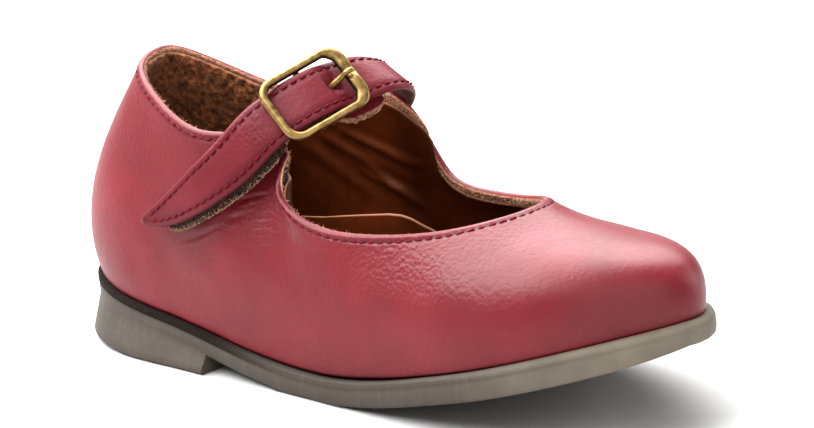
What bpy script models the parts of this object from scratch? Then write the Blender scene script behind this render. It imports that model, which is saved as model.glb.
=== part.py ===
# A child's mary jane shoe for the right foot, in metres, +Z up, toe along +X, inner (medial) side along +Y.
# The origin is on the floor under the middle of the heel base.

import bmesh
import bpy
import numpy as np

# Driving sizes of the shoe
SHOE_LENGTH = 0.148
BALL_WIDTH = 0.056
COLLAR_HEIGHT = 0.060
HEEL_LENGTH = 0.045
HEEL_CENTRE = 0.022

# The sole: the height of its upper face along the shoe, and its rubber
SOLE_EDGE = 0.0050
HEEL_SEAT_HEIGHT = 0.0138
WAIST_HEIGHT = 0.0084
BALL_HEIGHT = 0.0050
TOE_SEAT_HEIGHT = 0.0213
TOE_EDGE = 0.0062
TOE_ROLL = 0.0018
TOE_ROLL_BEND = 8
HEEL_FLARE = 0.0010
BAND_HEIGHT = 0.0014
BAND_STEP = 0.0004
SOLE_CHAMFER = 0.0007

# The leather, and the sole's ledge outside it at the heel and at the toe
WALL = 0.0018
HEEL_LEDGE = 0.0009
TOE_LEDGE = 0.0021
INSOLE_THICKNESS = 0.0028
INSOLE_CUP = 0.0012
INSOLE_BLUNTNESS = 0.12
INSOLE_ROWS = (0.0, 0.08, 0.25, 0.5, 0.75, 0.92, 1.0)
ARCH_RISE = 0.0035
ARCH_PLACE = 0.40
ARCH_SPREAD = 0.16
CLEARANCE = 0.0003

# The strap, its patches and its buckle
STRAP_WIDTH = 0.0104
STRAP_THICKNESS = 0.0020
TAB_LENGTH = 0.034
PATCH_THICKNESS = 0.0008
PATCH_PEEK = 0.0020
PATCH_INSET = 0.0022
EAR_WIDTH = 0.0120
EAR_END = 0.0125
HOOK_TIP_GAP = 0.0050
LOOP_TIP_GAP = 0.0100
BUCKLE_LENGTH = 0.0196
BUCKLE_WIDTH = 0.0146
BUCKLE_THICKNESS = 0.0017
BUCKLE_BAR = 0.0016
BUCKLE_END_BAR = 0.0026
BUCKLE_CORNER = 0.0030
CENTRE_BAR_WIDTH = 0.0014
CENTRE_BAR_DROP = 0.0019
CENTRE_BAR_BEND = 0.0006
PRONG_DIAMETER = 0.0014
PRONG_HOLE_PLACE = 0.0045
PRONG_HOLE_LENGTH = 0.0048
PRONG_HOLE_WIDTH = 0.0022
PRONG_HOOK_TURNS = (-60, -30, 0, 30, 60)

# How finely the curved pieces are divided
AROUND = 96
UP_OUTSIDE = 10
SOLE_STATIONS = 40
STRAP_STATIONS = 56
PATCH_STATIONS = 30
EAR_STATIONS = 22
PRONG_STATIONS = 30
CORNER_STEPS = 6
BAR_SIDES = 8
SHARP_ANGLE = 0.7
EDGE_EASE = 0.25
MERGE_DISTANCE = 0.000002

# One row for each section around the shoe, from the heel back along the outer side to the toe and back.
# along, side: the sole's outline; rim_*: the upper's top edge; swell, belly: how far and how high the wall
# bulges above the sole; lean, drop: the same below the top edge. Values along the shoe are shares of
# SHOE_LENGTH, sideways ones of BALL_WIDTH, rim heights of COLLAR_HEIGHT; belly and drop of the wall's height.
SECTION_COLUMNS = ("along", "side", "rim_along", "rim_side", "rim_height", "swell", "belly", "lean", "drop")
SECTIONS = (
    (0.000, 0.000, 0.098, 0.000, 0.985, 0.100, 0.33, 0.075, 0.34),
    (0.035, -0.250, 0.119, -0.155, 0.965, 0.090, 0.33, 0.070, 0.34),
    (0.130, -0.400, 0.185, -0.275, 0.895, 0.055, 0.34, 0.060, 0.34),
    (0.250, -0.418, 0.275, -0.330, 0.820, 0.035, 0.34, 0.055, 0.34),
    (0.350, -0.428, 0.343, -0.305, 0.818, 0.035, 0.34, 0.085, 0.34),
    (0.420, -0.435, 0.392, -0.246, 0.805, 0.035, 0.34, 0.125, 0.34),
    (0.490, -0.442, 0.418, -0.266, 0.752, 0.035, 0.34, 0.115, 0.34),
    (0.550, -0.448, 0.431, -0.346, 0.668, 0.035, 0.34, 0.060, 0.34),
    (0.620, -0.455, 0.496, -0.375, 0.580, 0.035, 0.36, 0.040, 0.34),
    (0.710, -0.458, 0.612, -0.344, 0.577, 0.035, 0.42, 0.060, 0.30),
    (0.800, -0.437, 0.696, -0.268, 0.608, 0.030, 0.56, 0.130, 0.28),
    (0.885, -0.352, 0.740, -0.160, 0.633, 0.025, 0.78, 0.215, 0.30),
    (0.962, -0.170, 0.758, -0.055, 0.645, 0.020, 0.92, 0.270, 0.36),
    (1.000, 0.075, 0.756, 0.036, 0.645, 0.020, 1.00, 0.285, 0.44),
    (0.958, 0.252, 0.743, 0.108, 0.637, 0.020, 0.98, 0.270, 0.50),
    (0.893, 0.398, 0.713, 0.188, 0.617, 0.025, 0.84, 0.225, 0.48),
    (0.800, 0.497, 0.655, 0.268, 0.583, 0.030, 0.62, 0.160, 0.38),
    (0.700, 0.525, 0.581, 0.321, 0.563, 0.035, 0.42, 0.110, 0.28),
    (0.600, 0.480, 0.514, 0.339, 0.592, 0.035, 0.38, 0.080, 0.34),
    (0.520, 0.410, 0.480, 0.325, 0.717, 0.035, 0.34, 0.060, 0.34),
    (0.460, 0.370, 0.466, 0.262, 0.838, 0.035, 0.34, 0.080, 0.34),
    (0.400, 0.345, 0.415, 0.262, 0.872, 0.035, 0.34, 0.080, 0.34),
    (0.320, 0.350, 0.324, 0.304, 0.825, 0.035, 0.34, 0.060, 0.34),
    (0.210, 0.375, 0.216, 0.295, 0.825, 0.035, 0.34, 0.060, 0.34),
    (0.110, 0.370, 0.149, 0.205, 0.900, 0.040, 0.32, 0.065, 0.34),
    (0.030, 0.235, 0.108, 0.098, 0.967, 0.050, 0.30, 0.070, 0.34),
)
TOE_SECTION = 13
FAN_SHARE = 0.21

# The height of the sole's upper face, from heel back to toe. The columns are: along, as a share of
# SHOE_LENGTH; the named height that it starts from; the one that it moves towards; and how far it has moved.
SEAT_ROWS = (
    (-0.05, HEEL_SEAT_HEIGHT, HEEL_SEAT_HEIGHT, 0.00),
    (0.00, HEEL_SEAT_HEIGHT, WAIST_HEIGHT, 0.00),
    (0.16, HEEL_SEAT_HEIGHT, WAIST_HEIGHT, 0.40),
    (0.30, HEEL_SEAT_HEIGHT, WAIST_HEIGHT, 1.00),
    (0.43, WAIST_HEIGHT, BALL_HEIGHT, 0.88),
    (0.53, WAIST_HEIGHT, BALL_HEIGHT, 1.00),
    (0.61, BALL_HEIGHT, TOE_SEAT_HEIGHT, 0.10),
    (0.70, BALL_HEIGHT, TOE_SEAT_HEIGHT, 0.30),
    (0.80, BALL_HEIGHT, TOE_SEAT_HEIGHT, 0.54),
    (0.90, BALL_HEIGHT, TOE_SEAT_HEIGHT, 0.79),
    (1.00, BALL_HEIGHT, TOE_SEAT_HEIGHT, 1.00),
)

# Where the flat base under the ball begins and ends, as shares of SHOE_LENGTH
FOREFOOT_BASE = (0.43, 0.55)

# The strap's line on the outer wall and on the inner one. The columns are: along and height, as shares of
# SHOE_LENGTH and COLLAR_HEIGHT, and lift, how far it stands off there as a share of WALL.
TAB_PATH = ((0.219, 0.495, 0.0), (0.268, 0.548, 0.0), (0.322, 0.636, 0.15), (0.367, 0.742, 0.6))
ROOT_PATH = ((0.430, 0.860, 0.0), (0.383, 0.760, 0.15))

# The strap's line over the instep. The columns are: along, side and height, as shares of SHOE_LENGTH,
# BALL_WIDTH and COLLAR_HEIGHT, and facing, the direction away from the foot.
INSTEP_PATH = (
    (0.4097, -0.298, 0.868, (0.50, -0.64, 0.58)),
    (0.436, -0.143, 0.920, (0.60, -0.47, 0.64)),
    (0.4560, 0.016, 0.9600, (0.59, -0.38, 0.71)),
    (0.467, 0.150, 0.955, (0.45, 0.35, 0.82)),
)

# The row above at which the buckle sits, and the direction in which it points along the strap
BUCKLE_ROW = 1
BUCKLE_ALONG = (0.337, 0.881, 0.332)

# The tab narrows towards its tip. The columns are: distance from the tip as a share of TAB_LENGTH, and width
# as a share of STRAP_WIDTH.
TAB_SHAPE = ((0.00, 0.03), (0.06, 0.26), (0.15, 0.46), (0.30, 0.66), (0.55, 0.86), (0.80, 0.97), (1.00, 1.00))

# Outside the leather wall lie the loop patch, the hook patch and the strap, a clearance apart.
STRAP_LIFT = PATCH_THICKNESS * 2 + CLEARANCE * 4 + STRAP_THICKNESS / 2
ROOT_LIFT = CLEARANCE * 4 + STRAP_THICKNESS / 2
EAR_DEPTH = STRAP_LIFT + WALL / 2
LOOP_DEPTH = STRAP_LIFT - CLEARANCE * 1.5 - PATCH_THICKNESS / 2
HOOK_DEPTH = STRAP_THICKNESS / 2 + CLEARANCE + PATCH_THICKNESS / 2

# Inside the buckle the strap passes under both end bars and over the centre bar.
BUCKLE_LIFT = STRAP_THICKNESS / 2 + CLEARANCE * 2 + BUCKLE_THICKNESS / 2
STRAP_BULGE = BUCKLE_LIFT - CENTRE_BAR_DROP + CENTRE_BAR_WIDTH / 2 + CLEARANCE + STRAP_THICKNESS / 2

# Red, green, blue, roughness and metallic value of each piece
COLORS = {
    "outsole": (0.20, 0.175, 0.15, 0.75, 0.0),
    "upper": (0.33, 0.04, 0.06, 0.45, 0.0),
    "insole": (0.30, 0.14, 0.06, 0.70, 0.0),
    "strap": (0.33, 0.04, 0.06, 0.45, 0.0),
    "buckle_frame": (0.50, 0.38, 0.16, 0.35, 1.0),
    "buckle_prong": (0.50, 0.38, 0.16, 0.35, 1.0),
    "hook_patch": (0.06, 0.04, 0.03, 0.90, 0.0),
    "loop_patch": (0.06, 0.04, 0.03, 0.90, 0.0),
}


# Curves and meshes

def unit(vectors):
    vectors = np.asarray(vectors, float)
    return vectors / np.linalg.norm(vectors, axis=-1, keepdims=True)


def run_lengths(points):
    steps = np.linalg.norm(np.diff(points, axis=0), axis=1)
    return np.concatenate([[0.0], np.cumsum(steps)])


def spline(values, knots, closed):
    """The cubic spline through values at knots; a closed one has one more knot than values."""
    values = np.asarray(values, float)
    count = len(values)
    spans = np.diff(knots)
    matrix = np.eye(count)
    right = np.zeros(values.shape)
    for row in range(count):
        if not closed and row in (0, count - 1):
            continue
        before, after = spans[row - 1], spans[row]
        last, following = values[row - 1], values[(row + 1) % count]
        matrix[row, row] = 2 * (before + after)
        matrix[row, row - 1] = before
        matrix[row, (row + 1) % count] = after
        right[row] = 6 * ((following - values[row]) / after - (values[row] - last) / before)
    bends = np.linalg.solve(matrix, right)
    if closed:
        values = np.vstack([values, values[:1]])
        bends = np.vstack([bends, bends[:1]])

    def at(places):
        places = np.asarray(places, float)
        if closed:
            places = np.mod(places, knots[-1])
        cell = np.clip(np.searchsorted(knots, places, side="right") - 1, 0, len(knots) - 2)
        span = (knots[cell + 1] - knots[cell])[..., None]
        left = (knots[cell + 1] - places)[..., None] / span
        near = 1.0 - left
        sag = ((left ** 3 - left) * bends[cell] + (near ** 3 - near) * bends[cell + 1]) * span ** 2 / 6
        return left * values[cell] + near * values[cell + 1] + sag

    return at


def make_object(name, vertices, faces):
    mesh = bpy.data.meshes.new(name)
    mesh.from_pydata([tuple(map(float, vertex)) for vertex in vertices], [], faces)
    mesh.shade_smooth()
    mesh.set_sharp_from_angle(angle=SHARP_ANGLE)
    item = bpy.data.objects.new(name, mesh)
    bpy.context.scene.collection.objects.link(item)
    return item


def give_material(item):
    red, green, blue, roughness, metallic = COLORS[item.name]
    material = bpy.data.materials.new(item.name)
    material.use_nodes = True
    shader = material.node_tree.nodes["Principled BSDF"]
    shader.inputs["Base Color"].default_value = (red, green, blue, 1.0)
    shader.inputs["Roughness"].default_value = roughness
    shader.inputs["Metallic"].default_value = metallic
    item.data.materials.append(material)


def combine(item, form, operation):
    """Join a helper form to an item, or cut it away, and keep the form out of view."""
    modifier = item.modifiers.new(form.name, "BOOLEAN")
    modifier.operation = operation
    modifier.solver = "EXACT"
    modifier.object = form
    form.hide_render = True
    form.display_type = "WIRE"


def skin(rings, closed_up=False):
    """Quads between neighbouring closed rings of equal length, as indices into the stacked rings."""
    count = len(rings[0])
    faces = []
    for level in range(len(rings) if closed_up else len(rings) - 1):
        above = (level + 1) % len(rings)
        for here in range(count):
            there = (here + 1) % count
            faces.append((level * count + here, level * count + there,
                          above * count + there, above * count + here))
    return faces


def capped(rings):
    """The skin of rings with a face over each end."""
    count = len(rings[0])
    last = (len(rings) - 1) * count
    return skin(rings) + [tuple(range(count))[::-1], tuple(range(last, last + count))]


def ribbon(points, facing, low_side, high_side, thickness):
    """A flat strip along points, with its reach to the two sides at each point and eased edges."""
    tangents = unit(np.gradient(points, axis=0))
    across = unit(np.cross(facing, tangents))
    out = unit(np.cross(tangents, across))
    half = thickness / 2
    ease = thickness * EDGE_EASE
    rings = []
    for place, point in enumerate(points):
        low, high = low_side[place], high_side[place]
        trim = min(ease, 0.4 * (low + high))
        corners = ((-low, -half + ease), (-low + trim, -half), (high - trim, -half), (high, -half + ease),
                   (high, half - ease), (high - trim, half), (-low + trim, half), (-low, half - ease))
        rings.append([point + across[place] * side + out[place] * level for side, level in corners])
    return np.concatenate(rings), capped(rings)


def tube(points, radius, start_facing):
    """A round bar along points, with flat ends."""
    points = np.asarray(points, float)
    tangents = unit(np.gradient(points, axis=0))
    rings = []
    turns = np.arange(BAR_SIDES) * 2 * np.pi / BAR_SIDES
    for point, tangent in zip(points, tangents):
        first = unit(np.cross(tangent, start_facing))
        second = np.cross(tangent, first)
        rings.append([point + (first * np.cos(turn) + second * np.sin(turn)) * radius for turn in turns])
    return np.concatenate(rings), capped(rings)


# Sections in metres, and the functions that read between them

ALONG = np.isin(SECTION_COLUMNS, ("along", "rim_along"))
SIDEWAYS = np.isin(SECTION_COLUMNS, ("side", "rim_side", "swell", "lean"))
SCALES = np.where(ALONG, SHOE_LENGTH, np.where(SIDEWAYS, BALL_WIDTH, 1.0))
SCALES[SECTION_COLUMNS.index("rim_height")] = COLLAR_HEIGHT
SECTION_VALUES = np.array(SECTIONS) * SCALES - np.where(ALONG, HEEL_CENTRE, 0.0)
SECTION_PLACES = run_lengths(np.vstack([SECTION_VALUES[:, :2], SECTION_VALUES[:1, :2]]))
GIRTH = SECTION_PLACES[-1]
section_at = spline(SECTION_VALUES, SECTION_PLACES, True)

SEAT_ALONG = np.array([row[0] for row in SEAT_ROWS]) * SHOE_LENGTH - HEEL_CENTRE
SEAT_HEIGHTS = [[start + (end - start) * share] for _, start, end, share in SEAT_ROWS]
seat_at = spline(SEAT_HEIGHTS, SEAT_ALONG, False)


def columns(rows, *names):
    """The named columns of rows that section_at returns."""
    return rows[..., [SECTION_COLUMNS.index(name) for name in names]]


def seat_height(along):
    """Height of the sole's upper face."""
    return seat_at(np.clip(along, SEAT_ALONG[0], SEAT_ALONG[-1]))[..., 0]


def base_height(along):
    """Height of the sole's underside, without the heel."""
    behind, ahead = (share * SHOE_LENGTH - HEEL_CENTRE for share in FOREFOOT_BASE)
    toeward = np.clip((along - ahead) / (SHOE_LENGTH - HEEL_CENTRE - ahead), 0, 1)
    lifted = seat_height(along) - SOLE_EDGE - (TOE_EDGE - SOLE_EDGE) * toeward
    lifted = lifted + TOE_ROLL * toeward ** TOE_ROLL_BEND
    return np.where((along > behind) & (along < ahead), 0.0, np.maximum(lifted, 0.0))


def outline(places, inset=0.0):
    """Points of the sole's outline in plan, moved in by inset, and the outward directions there."""
    step = GIRTH / 2000
    run = columns(section_at(places + step) - section_at(places - step), "along", "side")
    outward = unit(np.stack([run[..., 1], -run[..., 0]], axis=-1))
    return columns(section_at(places), "along", "side") - outward * inset, outward


def ledge_at(along):
    """Width of the sole's ledge outside the upper."""
    share = np.clip((along + HEEL_CENTRE) / SHOE_LENGTH, 0, 1)
    return HEEL_LEDGE + (TOE_LEDGE - HEEL_LEDGE) * share


def upper_sheet(places, climbs):
    """The upper's outer face: a curve for each place around, from the sole (climb 0) to the rim (1)."""
    places = np.asarray(places, float)
    rows = section_at(places)
    feather, outward = outline(places, ledge_at(columns(rows, "along")))
    foot = np.column_stack([feather, seat_height(feather[:, 0]) + CLEARANCE])
    rim = columns(rows, "rim_along", "rim_side", "rim_height")
    height = (rim[:, 2] - foot[:, 2])[:, None]
    spread = unit(foot[:, :2] - rim[:, :2] + outward * BALL_WIDTH * FAN_SHARE)
    flat = np.zeros((len(places), 1))
    up = np.array([0.0, 0.0, 1.0])
    bulge = np.hstack([outward * columns(rows, "swell"), flat])
    reach = np.hstack([spread * columns(rows, "lean"), flat])
    low_handle = foot + bulge + up * height * columns(rows, "belly")
    high_handle = rim + reach - up * height * columns(rows, "drop")
    climb = np.asarray(climbs, float)[None, :, None]
    fall = 1.0 - climb
    return (fall ** 3 * foot[:, None] + 3 * fall ** 2 * climb * low_handle[:, None]
            + 3 * fall * climb ** 2 * high_handle[:, None] + climb ** 3 * rim[:, None])


def sheet_facing(places, climbs):
    """Outward directions of the upper's outer face."""
    places = np.asarray(places, float)
    climbs = np.asarray(climbs, float)
    step = GIRTH / 1500
    around = upper_sheet(places + step, climbs) - upper_sheet(places - step, climbs)
    high = np.minimum(climbs + 0.004, 1.0)
    low = np.maximum(climbs - 0.004, 0.0)
    return unit(np.cross(around, upper_sheet(places, high) - upper_sheet(places, low)))


def wall_point(along, height, outer_side):
    """The point of a side wall at shares of length and collar height, and the direction out of it."""
    target = np.array([along * SHOE_LENGTH - HEEL_CENTRE, height * COLLAR_HEIGHT])
    toe_place = SECTION_PLACES[TOE_SECTION]
    start, end = (0.0, toe_place) if outer_side else (toe_place, GIRTH)
    climb_range = (0.0, 1.0)
    for _ in range(5):
        places = np.linspace(start, end, 60)
        climbs = np.linspace(*climb_range, 40)
        misses = np.linalg.norm(upper_sheet(places, climbs)[..., [0, 2]] - target, axis=-1)
        row, column = np.unravel_index(np.argmin(misses), misses.shape)
        reach = (end - start) / 20
        start, end = places[row] - reach, places[row] + reach
        spread = (climb_range[1] - climb_range[0]) / 14
        climb_range = (max(climbs[column] - spread, 0.0), min(climbs[column] + spread, 1.0))
    place = places[row:row + 1]
    climb = climbs[column:column + 1]
    return upper_sheet(place, climb)[0, 0], sheet_facing(place, climb)[0, 0]


# Upper and its ear

def build_upper(strap):
    places = np.arange(AROUND) * GIRTH / AROUND
    climbs = np.linspace(0, 1, UP_OUTSIDE + 1)
    outside = upper_sheet(places, climbs)
    inside = outside - sheet_facing(places, climbs) * WALL
    inside[:, 0, 2] = outside[:, 0, 2]
    rings = [outside[:, level] for level in range(len(climbs))]
    rings += [inside[:, level] for level in reversed(range(len(climbs)))]
    item = make_object("upper", np.concatenate(rings), skin(rings, closed_up=True))
    combine(item, build_ear_form(strap), "UNION")
    give_material(item)


def build_ear_form(strap):
    """The flap of the outer quarter that goes on under the strap, with a round end."""
    start = strap.wall_share
    end = strap.buckle_share + EAR_END / strap.length
    shares = np.linspace(start, end, EAR_STATIONS)
    points, facing = strap.at(shares)
    from_end = (end - shares) * strap.length
    curve = np.clip(from_end / (EAR_WIDTH / 2), 0, 1)
    half = EAR_WIDTH / 2 * np.sqrt(np.maximum(1 - (1 - curve) ** 2, 0.05))
    return make_object("ear_form", *ribbon(points - facing * EAR_DEPTH, facing, half, half, WALL * 0.9))


# Strap and patches

class StrapLine:
    """The strap's line from the tab's tip to the sewn root, read by share of its length."""

    def __init__(self):
        points, facing = [], []
        for along, height, lift in TAB_PATH:
            point, out = wall_point(along, height, True)
            points.append(point + out * (STRAP_LIFT + lift * WALL))
            facing.append(out)
        for along, side, height, out in INSTEP_PATH:
            points.append([along * SHOE_LENGTH - HEEL_CENTRE, side * BALL_WIDTH, height * COLLAR_HEIGHT])
            facing.append(unit(out))
        for along, height, lift in ROOT_PATH:
            point, out = wall_point(along, height, False)
            points.append(point + out * (ROOT_LIFT + lift * WALL))
            facing.append(out)
        knots = run_lengths(np.array(points))
        self.length = knots[-1]
        self.wall_share = knots[len(TAB_PATH) - 1] / self.length
        self.buckle_share = knots[len(TAB_PATH) + BUCKLE_ROW] / self.length
        self.point_at = spline(points, knots, False)
        self.facing_at = spline(facing, knots, False)

    def at(self, shares):
        places = np.asarray(shares, float) * self.length
        return self.point_at(places), unit(self.facing_at(places))

    def half_width(self, shares):
        """Half of the strap's width: full along the strap, less towards the tab's tip."""
        table = np.array(TAB_SHAPE)
        from_tip = np.asarray(shares) * self.length / TAB_LENGTH
        return STRAP_WIDTH / 2 * np.interp(from_tip, table[:, 0], table[:, 1])

    def bulge(self, shares):
        """How far the strap rises over the buckle's centre bar."""
        reach = np.abs(np.asarray(shares) - self.buckle_share) * self.length / (BUCKLE_LENGTH / 2)
        return STRAP_BULGE * np.cos(np.clip(reach, 0, 1) * np.pi / 2) ** 2


def build_strap(strap, buckle):
    shares = np.linspace(0, 1, STRAP_STATIONS)
    points, facing = strap.at(shares)
    half = strap.half_width(shares)
    points = points + facing * strap.bulge(shares)[:, None]
    item = make_object("strap", *ribbon(points, facing, half, half, STRAP_THICKNESS))
    hole = (PRONG_HOLE_LENGTH, PRONG_HOLE_WIDTH, STRAP_THICKNESS * 6)
    combine(item, buckle.block("prong_hole", (PRONG_HOLE_PLACE, 0, 0), hole), "DIFFERENCE")
    give_material(item)


def build_hook_patch(strap):
    """Under the tab, showing below its lower edge."""
    end = strap.buckle_share - (BUCKLE_LENGTH / 2 + CLEARANCE) / strap.length
    shares = np.linspace(HOOK_TIP_GAP / strap.length, end, PATCH_STATIONS)
    points, facing = strap.at(shares)
    half = strap.half_width(shares)
    ends = np.minimum(shares - shares[0], shares[-1] - shares) * strap.length
    grow = np.clip(ends / PATCH_INSET, 0.3, 1)
    low = half + PATCH_PEEK * grow
    high = np.maximum(half - PATCH_INSET, half * 0.3)
    points = points - facing * HOOK_DEPTH
    item = make_object("hook_patch", *ribbon(points, facing, low, high, PATCH_THICKNESS))
    give_material(item)


def build_loop_patch(strap):
    """On the outer quarter and its ear, under the hook patch."""
    start = LOOP_TIP_GAP / strap.length
    end = strap.buckle_share + (EAR_END - PATCH_INSET) / strap.length
    shares = np.linspace(start, end, PATCH_STATIONS)
    points, facing = strap.at(shares)
    ends = np.minimum(shares - start, end - shares) * strap.length
    half = (EAR_WIDTH / 2 - PATCH_INSET / 2) * np.sqrt(np.clip(ends / PATCH_INSET, 0.2, 1))
    points = points - facing * LOOP_DEPTH
    item = make_object("loop_patch", *ribbon(points, facing, half, half, PATCH_THICKNESS))
    give_material(item)


# Buckle

class BuckleFrame:
    """The buckle's own directions: along the strap to the inner side, across it and away from the foot."""

    def __init__(self, strap):
        point, facing = strap.at([strap.buckle_share])
        self.out = facing[0]
        along = np.array(BUCKLE_ALONG)
        self.along = unit(along - self.out * (along @ self.out))
        self.across = np.cross(self.out, self.along)
        self.centre = point[0] + self.out * BUCKLE_LIFT

    def place(self, along, across, out):
        return self.centre + self.along * along + self.across * across + self.out * out

    def block(self, name, middle, size):
        """A box in the buckle's directions."""
        corners = []
        for out in (-0.5, 0.5):
            for along, across in ((-0.5, -0.5), (0.5, -0.5), (0.5, 0.5), (-0.5, 0.5)):
                corners.append(self.place(middle[0] + along * size[0], middle[1] + across * size[1],
                                          middle[2] + out * size[2]))
        faces = skin([corners[:4], corners[4:]]) + [(3, 2, 1, 0), (4, 5, 6, 7)]
        return make_object(name, corners, faces)


def rounded_rectangle(length, width, corner):
    """Points of a rectangle with round corners, in plan."""
    points = []
    for quarter, (side, edge) in enumerate(((1, 1), (-1, 1), (-1, -1), (1, -1))):
        middle = np.array([side * (length / 2 - corner), edge * (width / 2 - corner)])
        for turn in np.linspace(0, np.pi / 2, CORNER_STEPS) + quarter * np.pi / 2:
            points.append(middle + corner * np.array([np.cos(turn), np.sin(turn)]))
    return np.array(points)


def build_buckle_frame(buckle):
    outer = rounded_rectangle(BUCKLE_LENGTH, BUCKLE_WIDTH, BUCKLE_CORNER)
    inner_length = BUCKLE_LENGTH - BUCKLE_BAR - BUCKLE_END_BAR
    inner = rounded_rectangle(inner_length, BUCKLE_WIDTH - 2 * BUCKLE_BAR, BUCKLE_CORNER / 2)
    inner = inner + np.array([(BUCKLE_BAR - BUCKLE_END_BAR) / 2, 0.0])
    rings = []
    for turn in np.arange(BAR_SIDES) * 2 * np.pi / BAR_SIDES + np.pi / BAR_SIDES:
        share = (1 + np.cos(turn) / np.cos(np.pi / BAR_SIDES)) / 2
        level = BUCKLE_THICKNESS / 2 * np.sin(turn) / np.cos(np.pi / BAR_SIDES)
        plan = inner + (outer - inner) * share
        rings.append([buckle.place(along, across, level) for along, across in plan])
    item = make_object("buckle_frame", np.concatenate(rings), skin(rings[::-1], closed_up=True))
    edge = BUCKLE_WIDTH / 2 - BUCKLE_BAR / 2
    low = -CENTRE_BAR_DROP
    bend = CENTRE_BAR_BEND
    path = ((0, -edge, 0), (0, -edge, low + bend), (0, -edge + bend, low), (0, 0, low),
            (0, edge - bend, low), (0, edge, low + bend), (0, edge, 0))
    points = [buckle.place(*point) for point in path]
    bar = make_object("centre_bar_form", *tube(points, CENTRE_BAR_WIDTH / 2, buckle.along))
    combine(item, bar, "UNION")
    give_material(item)


def build_buckle_prong(buckle):
    """Hooked under the centre bar, up through the strap's hole and over the end bar."""
    bar_gap = CENTRE_BAR_WIDTH / 2 + CLEARANCE + PRONG_DIAMETER / 2
    low = -CENTRE_BAR_DROP
    rest = BUCKLE_THICKNESS / 2 + CLEARANCE + PRONG_DIAMETER / 2
    reach = BUCKLE_LENGTH / 2 + PRONG_DIAMETER / 2
    hook = np.radians(PRONG_HOOK_TURNS)
    path = [(np.sin(turn) * bar_gap, 0, low - np.cos(turn) * bar_gap) for turn in hook]
    path += [(PRONG_HOLE_PLACE * 0.68, 0, low * 1.05), (PRONG_HOLE_PLACE * 1.1, 0, low * 0.35),
             (PRONG_HOLE_PLACE * 1.55, 0, rest * 0.75), (reach - BUCKLE_END_BAR, 0, rest), (reach, 0, rest)]
    points = [buckle.place(*point) for point in path]
    knots = run_lengths(np.array(points))
    smooth = spline(points, knots, False)(np.linspace(0, knots[-1], PRONG_STATIONS))
    item = make_object("buckle_prong", *tube(smooth, PRONG_DIAMETER / 2, buckle.across))
    give_material(item)


# Sole

def side_at(along, outer_side, inset):
    """Where the sole's outline, moved in by inset, crosses distances along the shoe on one side."""
    toe_place = SECTION_PLACES[TOE_SECTION]
    start, end = (0.0, toe_place) if outer_side else (GIRTH, toe_place)
    places = np.linspace(start, end, 1500)
    lengths = np.maximum.accumulate(columns(section_at(places), "along")[:, 0])
    points, outward = outline(np.interp(along, lengths, places))
    return points - outward * np.asarray(inset)[..., None]


def sole_stations():
    """Distances along the shoe, close together at both ends, with the heel breast given twice."""
    first = SECTION_VALUES[0, 0]
    last = SECTION_VALUES[TOE_SECTION, 0]
    turn = np.linspace(0, np.pi, SOLE_STATIONS)
    stations = first + (last - first) * (1 - np.cos(turn)) / 2
    breast = HEEL_LENGTH - HEEL_CENTRE
    nearest = np.argmin(np.abs(stations - breast))
    stations[nearest] = breast
    under_heel = stations <= breast
    return np.insert(stations, nearest, breast), np.insert(under_heel, nearest + 1, False)


def build_outsole():
    stations, under_heel = sole_stations()
    seat = seat_height(stations)
    shank = base_height(stations)
    base = np.where(under_heel, 0.0, shank)
    splay = np.where(under_heel, -HEEL_FLARE, BAND_STEP)
    levels = (
        (seat, 0.0),
        (seat - BAND_HEIGHT, 0.0),
        (seat - BAND_HEIGHT, BAND_STEP),
        (shank + SOLE_CHAMFER, BAND_STEP),
        (base + SOLE_CHAMFER, splay),
        (base, splay + SOLE_CHAMFER),
    )
    rings = []
    for height, inset in levels:
        outer = np.column_stack([side_at(stations, True, inset), height])
        inner = np.column_stack([side_at(stations, False, inset), height])
        rings.append(np.concatenate([outer, inner[::-1]]))
    count = len(stations)
    faces = skin(rings[::-1])
    top_start = (len(rings) - 1) * 2 * count
    for here in range(count - 1):
        outer, inner = here, 2 * count - 1 - here
        faces.append((top_start + outer, top_start + outer + 1, top_start + inner - 1, top_start + inner))
        faces.append((inner, inner - 1, outer + 1, outer))
    item = make_object("outsole", np.concatenate(rings[::-1]), faces)
    merge_doubles(item)
    give_material(item)


def merge_doubles(item):
    shape = bmesh.new()
    shape.from_mesh(item.data)
    bmesh.ops.remove_doubles(shape, verts=shape.verts, dist=MERGE_DISTANCE)
    shape.to_mesh(item.data)
    shape.free()


def build_insole():
    """The footbed: level between the walls, with its edge raised along the arch."""
    gap = ledge_at(SECTION_VALUES[0, 0]) + WALL + CLEARANCE
    toe_gap = ledge_at(SECTION_VALUES[TOE_SECTION, 0]) + WALL + CLEARANCE
    first = SECTION_VALUES[0, 0] + gap
    last = SECTION_VALUES[TOE_SECTION, 0] - toe_gap
    turn = np.linspace(INSOLE_BLUNTNESS, np.pi - INSOLE_BLUNTNESS, SOLE_STATIONS)
    stations = first + (last - first) * (1 - np.cos(turn)) / 2
    outer = inset_side(stations, True)
    inner = inset_side(stations, False)
    floor = seat_height(stations) + CLEARANCE
    share = (stations + HEEL_CENTRE) / SHOE_LENGTH
    arch = ARCH_RISE * np.exp(-((share - ARCH_PLACE) / ARCH_SPREAD) ** 2)
    lower, upper = [], []
    for across in INSOLE_ROWS:
        side = outer + (inner - outer) * across
        edge = (2 * across - 1) ** 4
        rise = INSOLE_THICKNESS + arch * max(2 * across - 1, 0.0) ** 2 + INSOLE_CUP * edge
        lower.append(np.column_stack([stations, side, floor]))
        upper.append(np.column_stack([stations, side, floor + rise]))
    item = make_object("insole", np.concatenate(lower + upper), slab_faces(len(INSOLE_ROWS), len(stations)))
    give_material(item)


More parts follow.
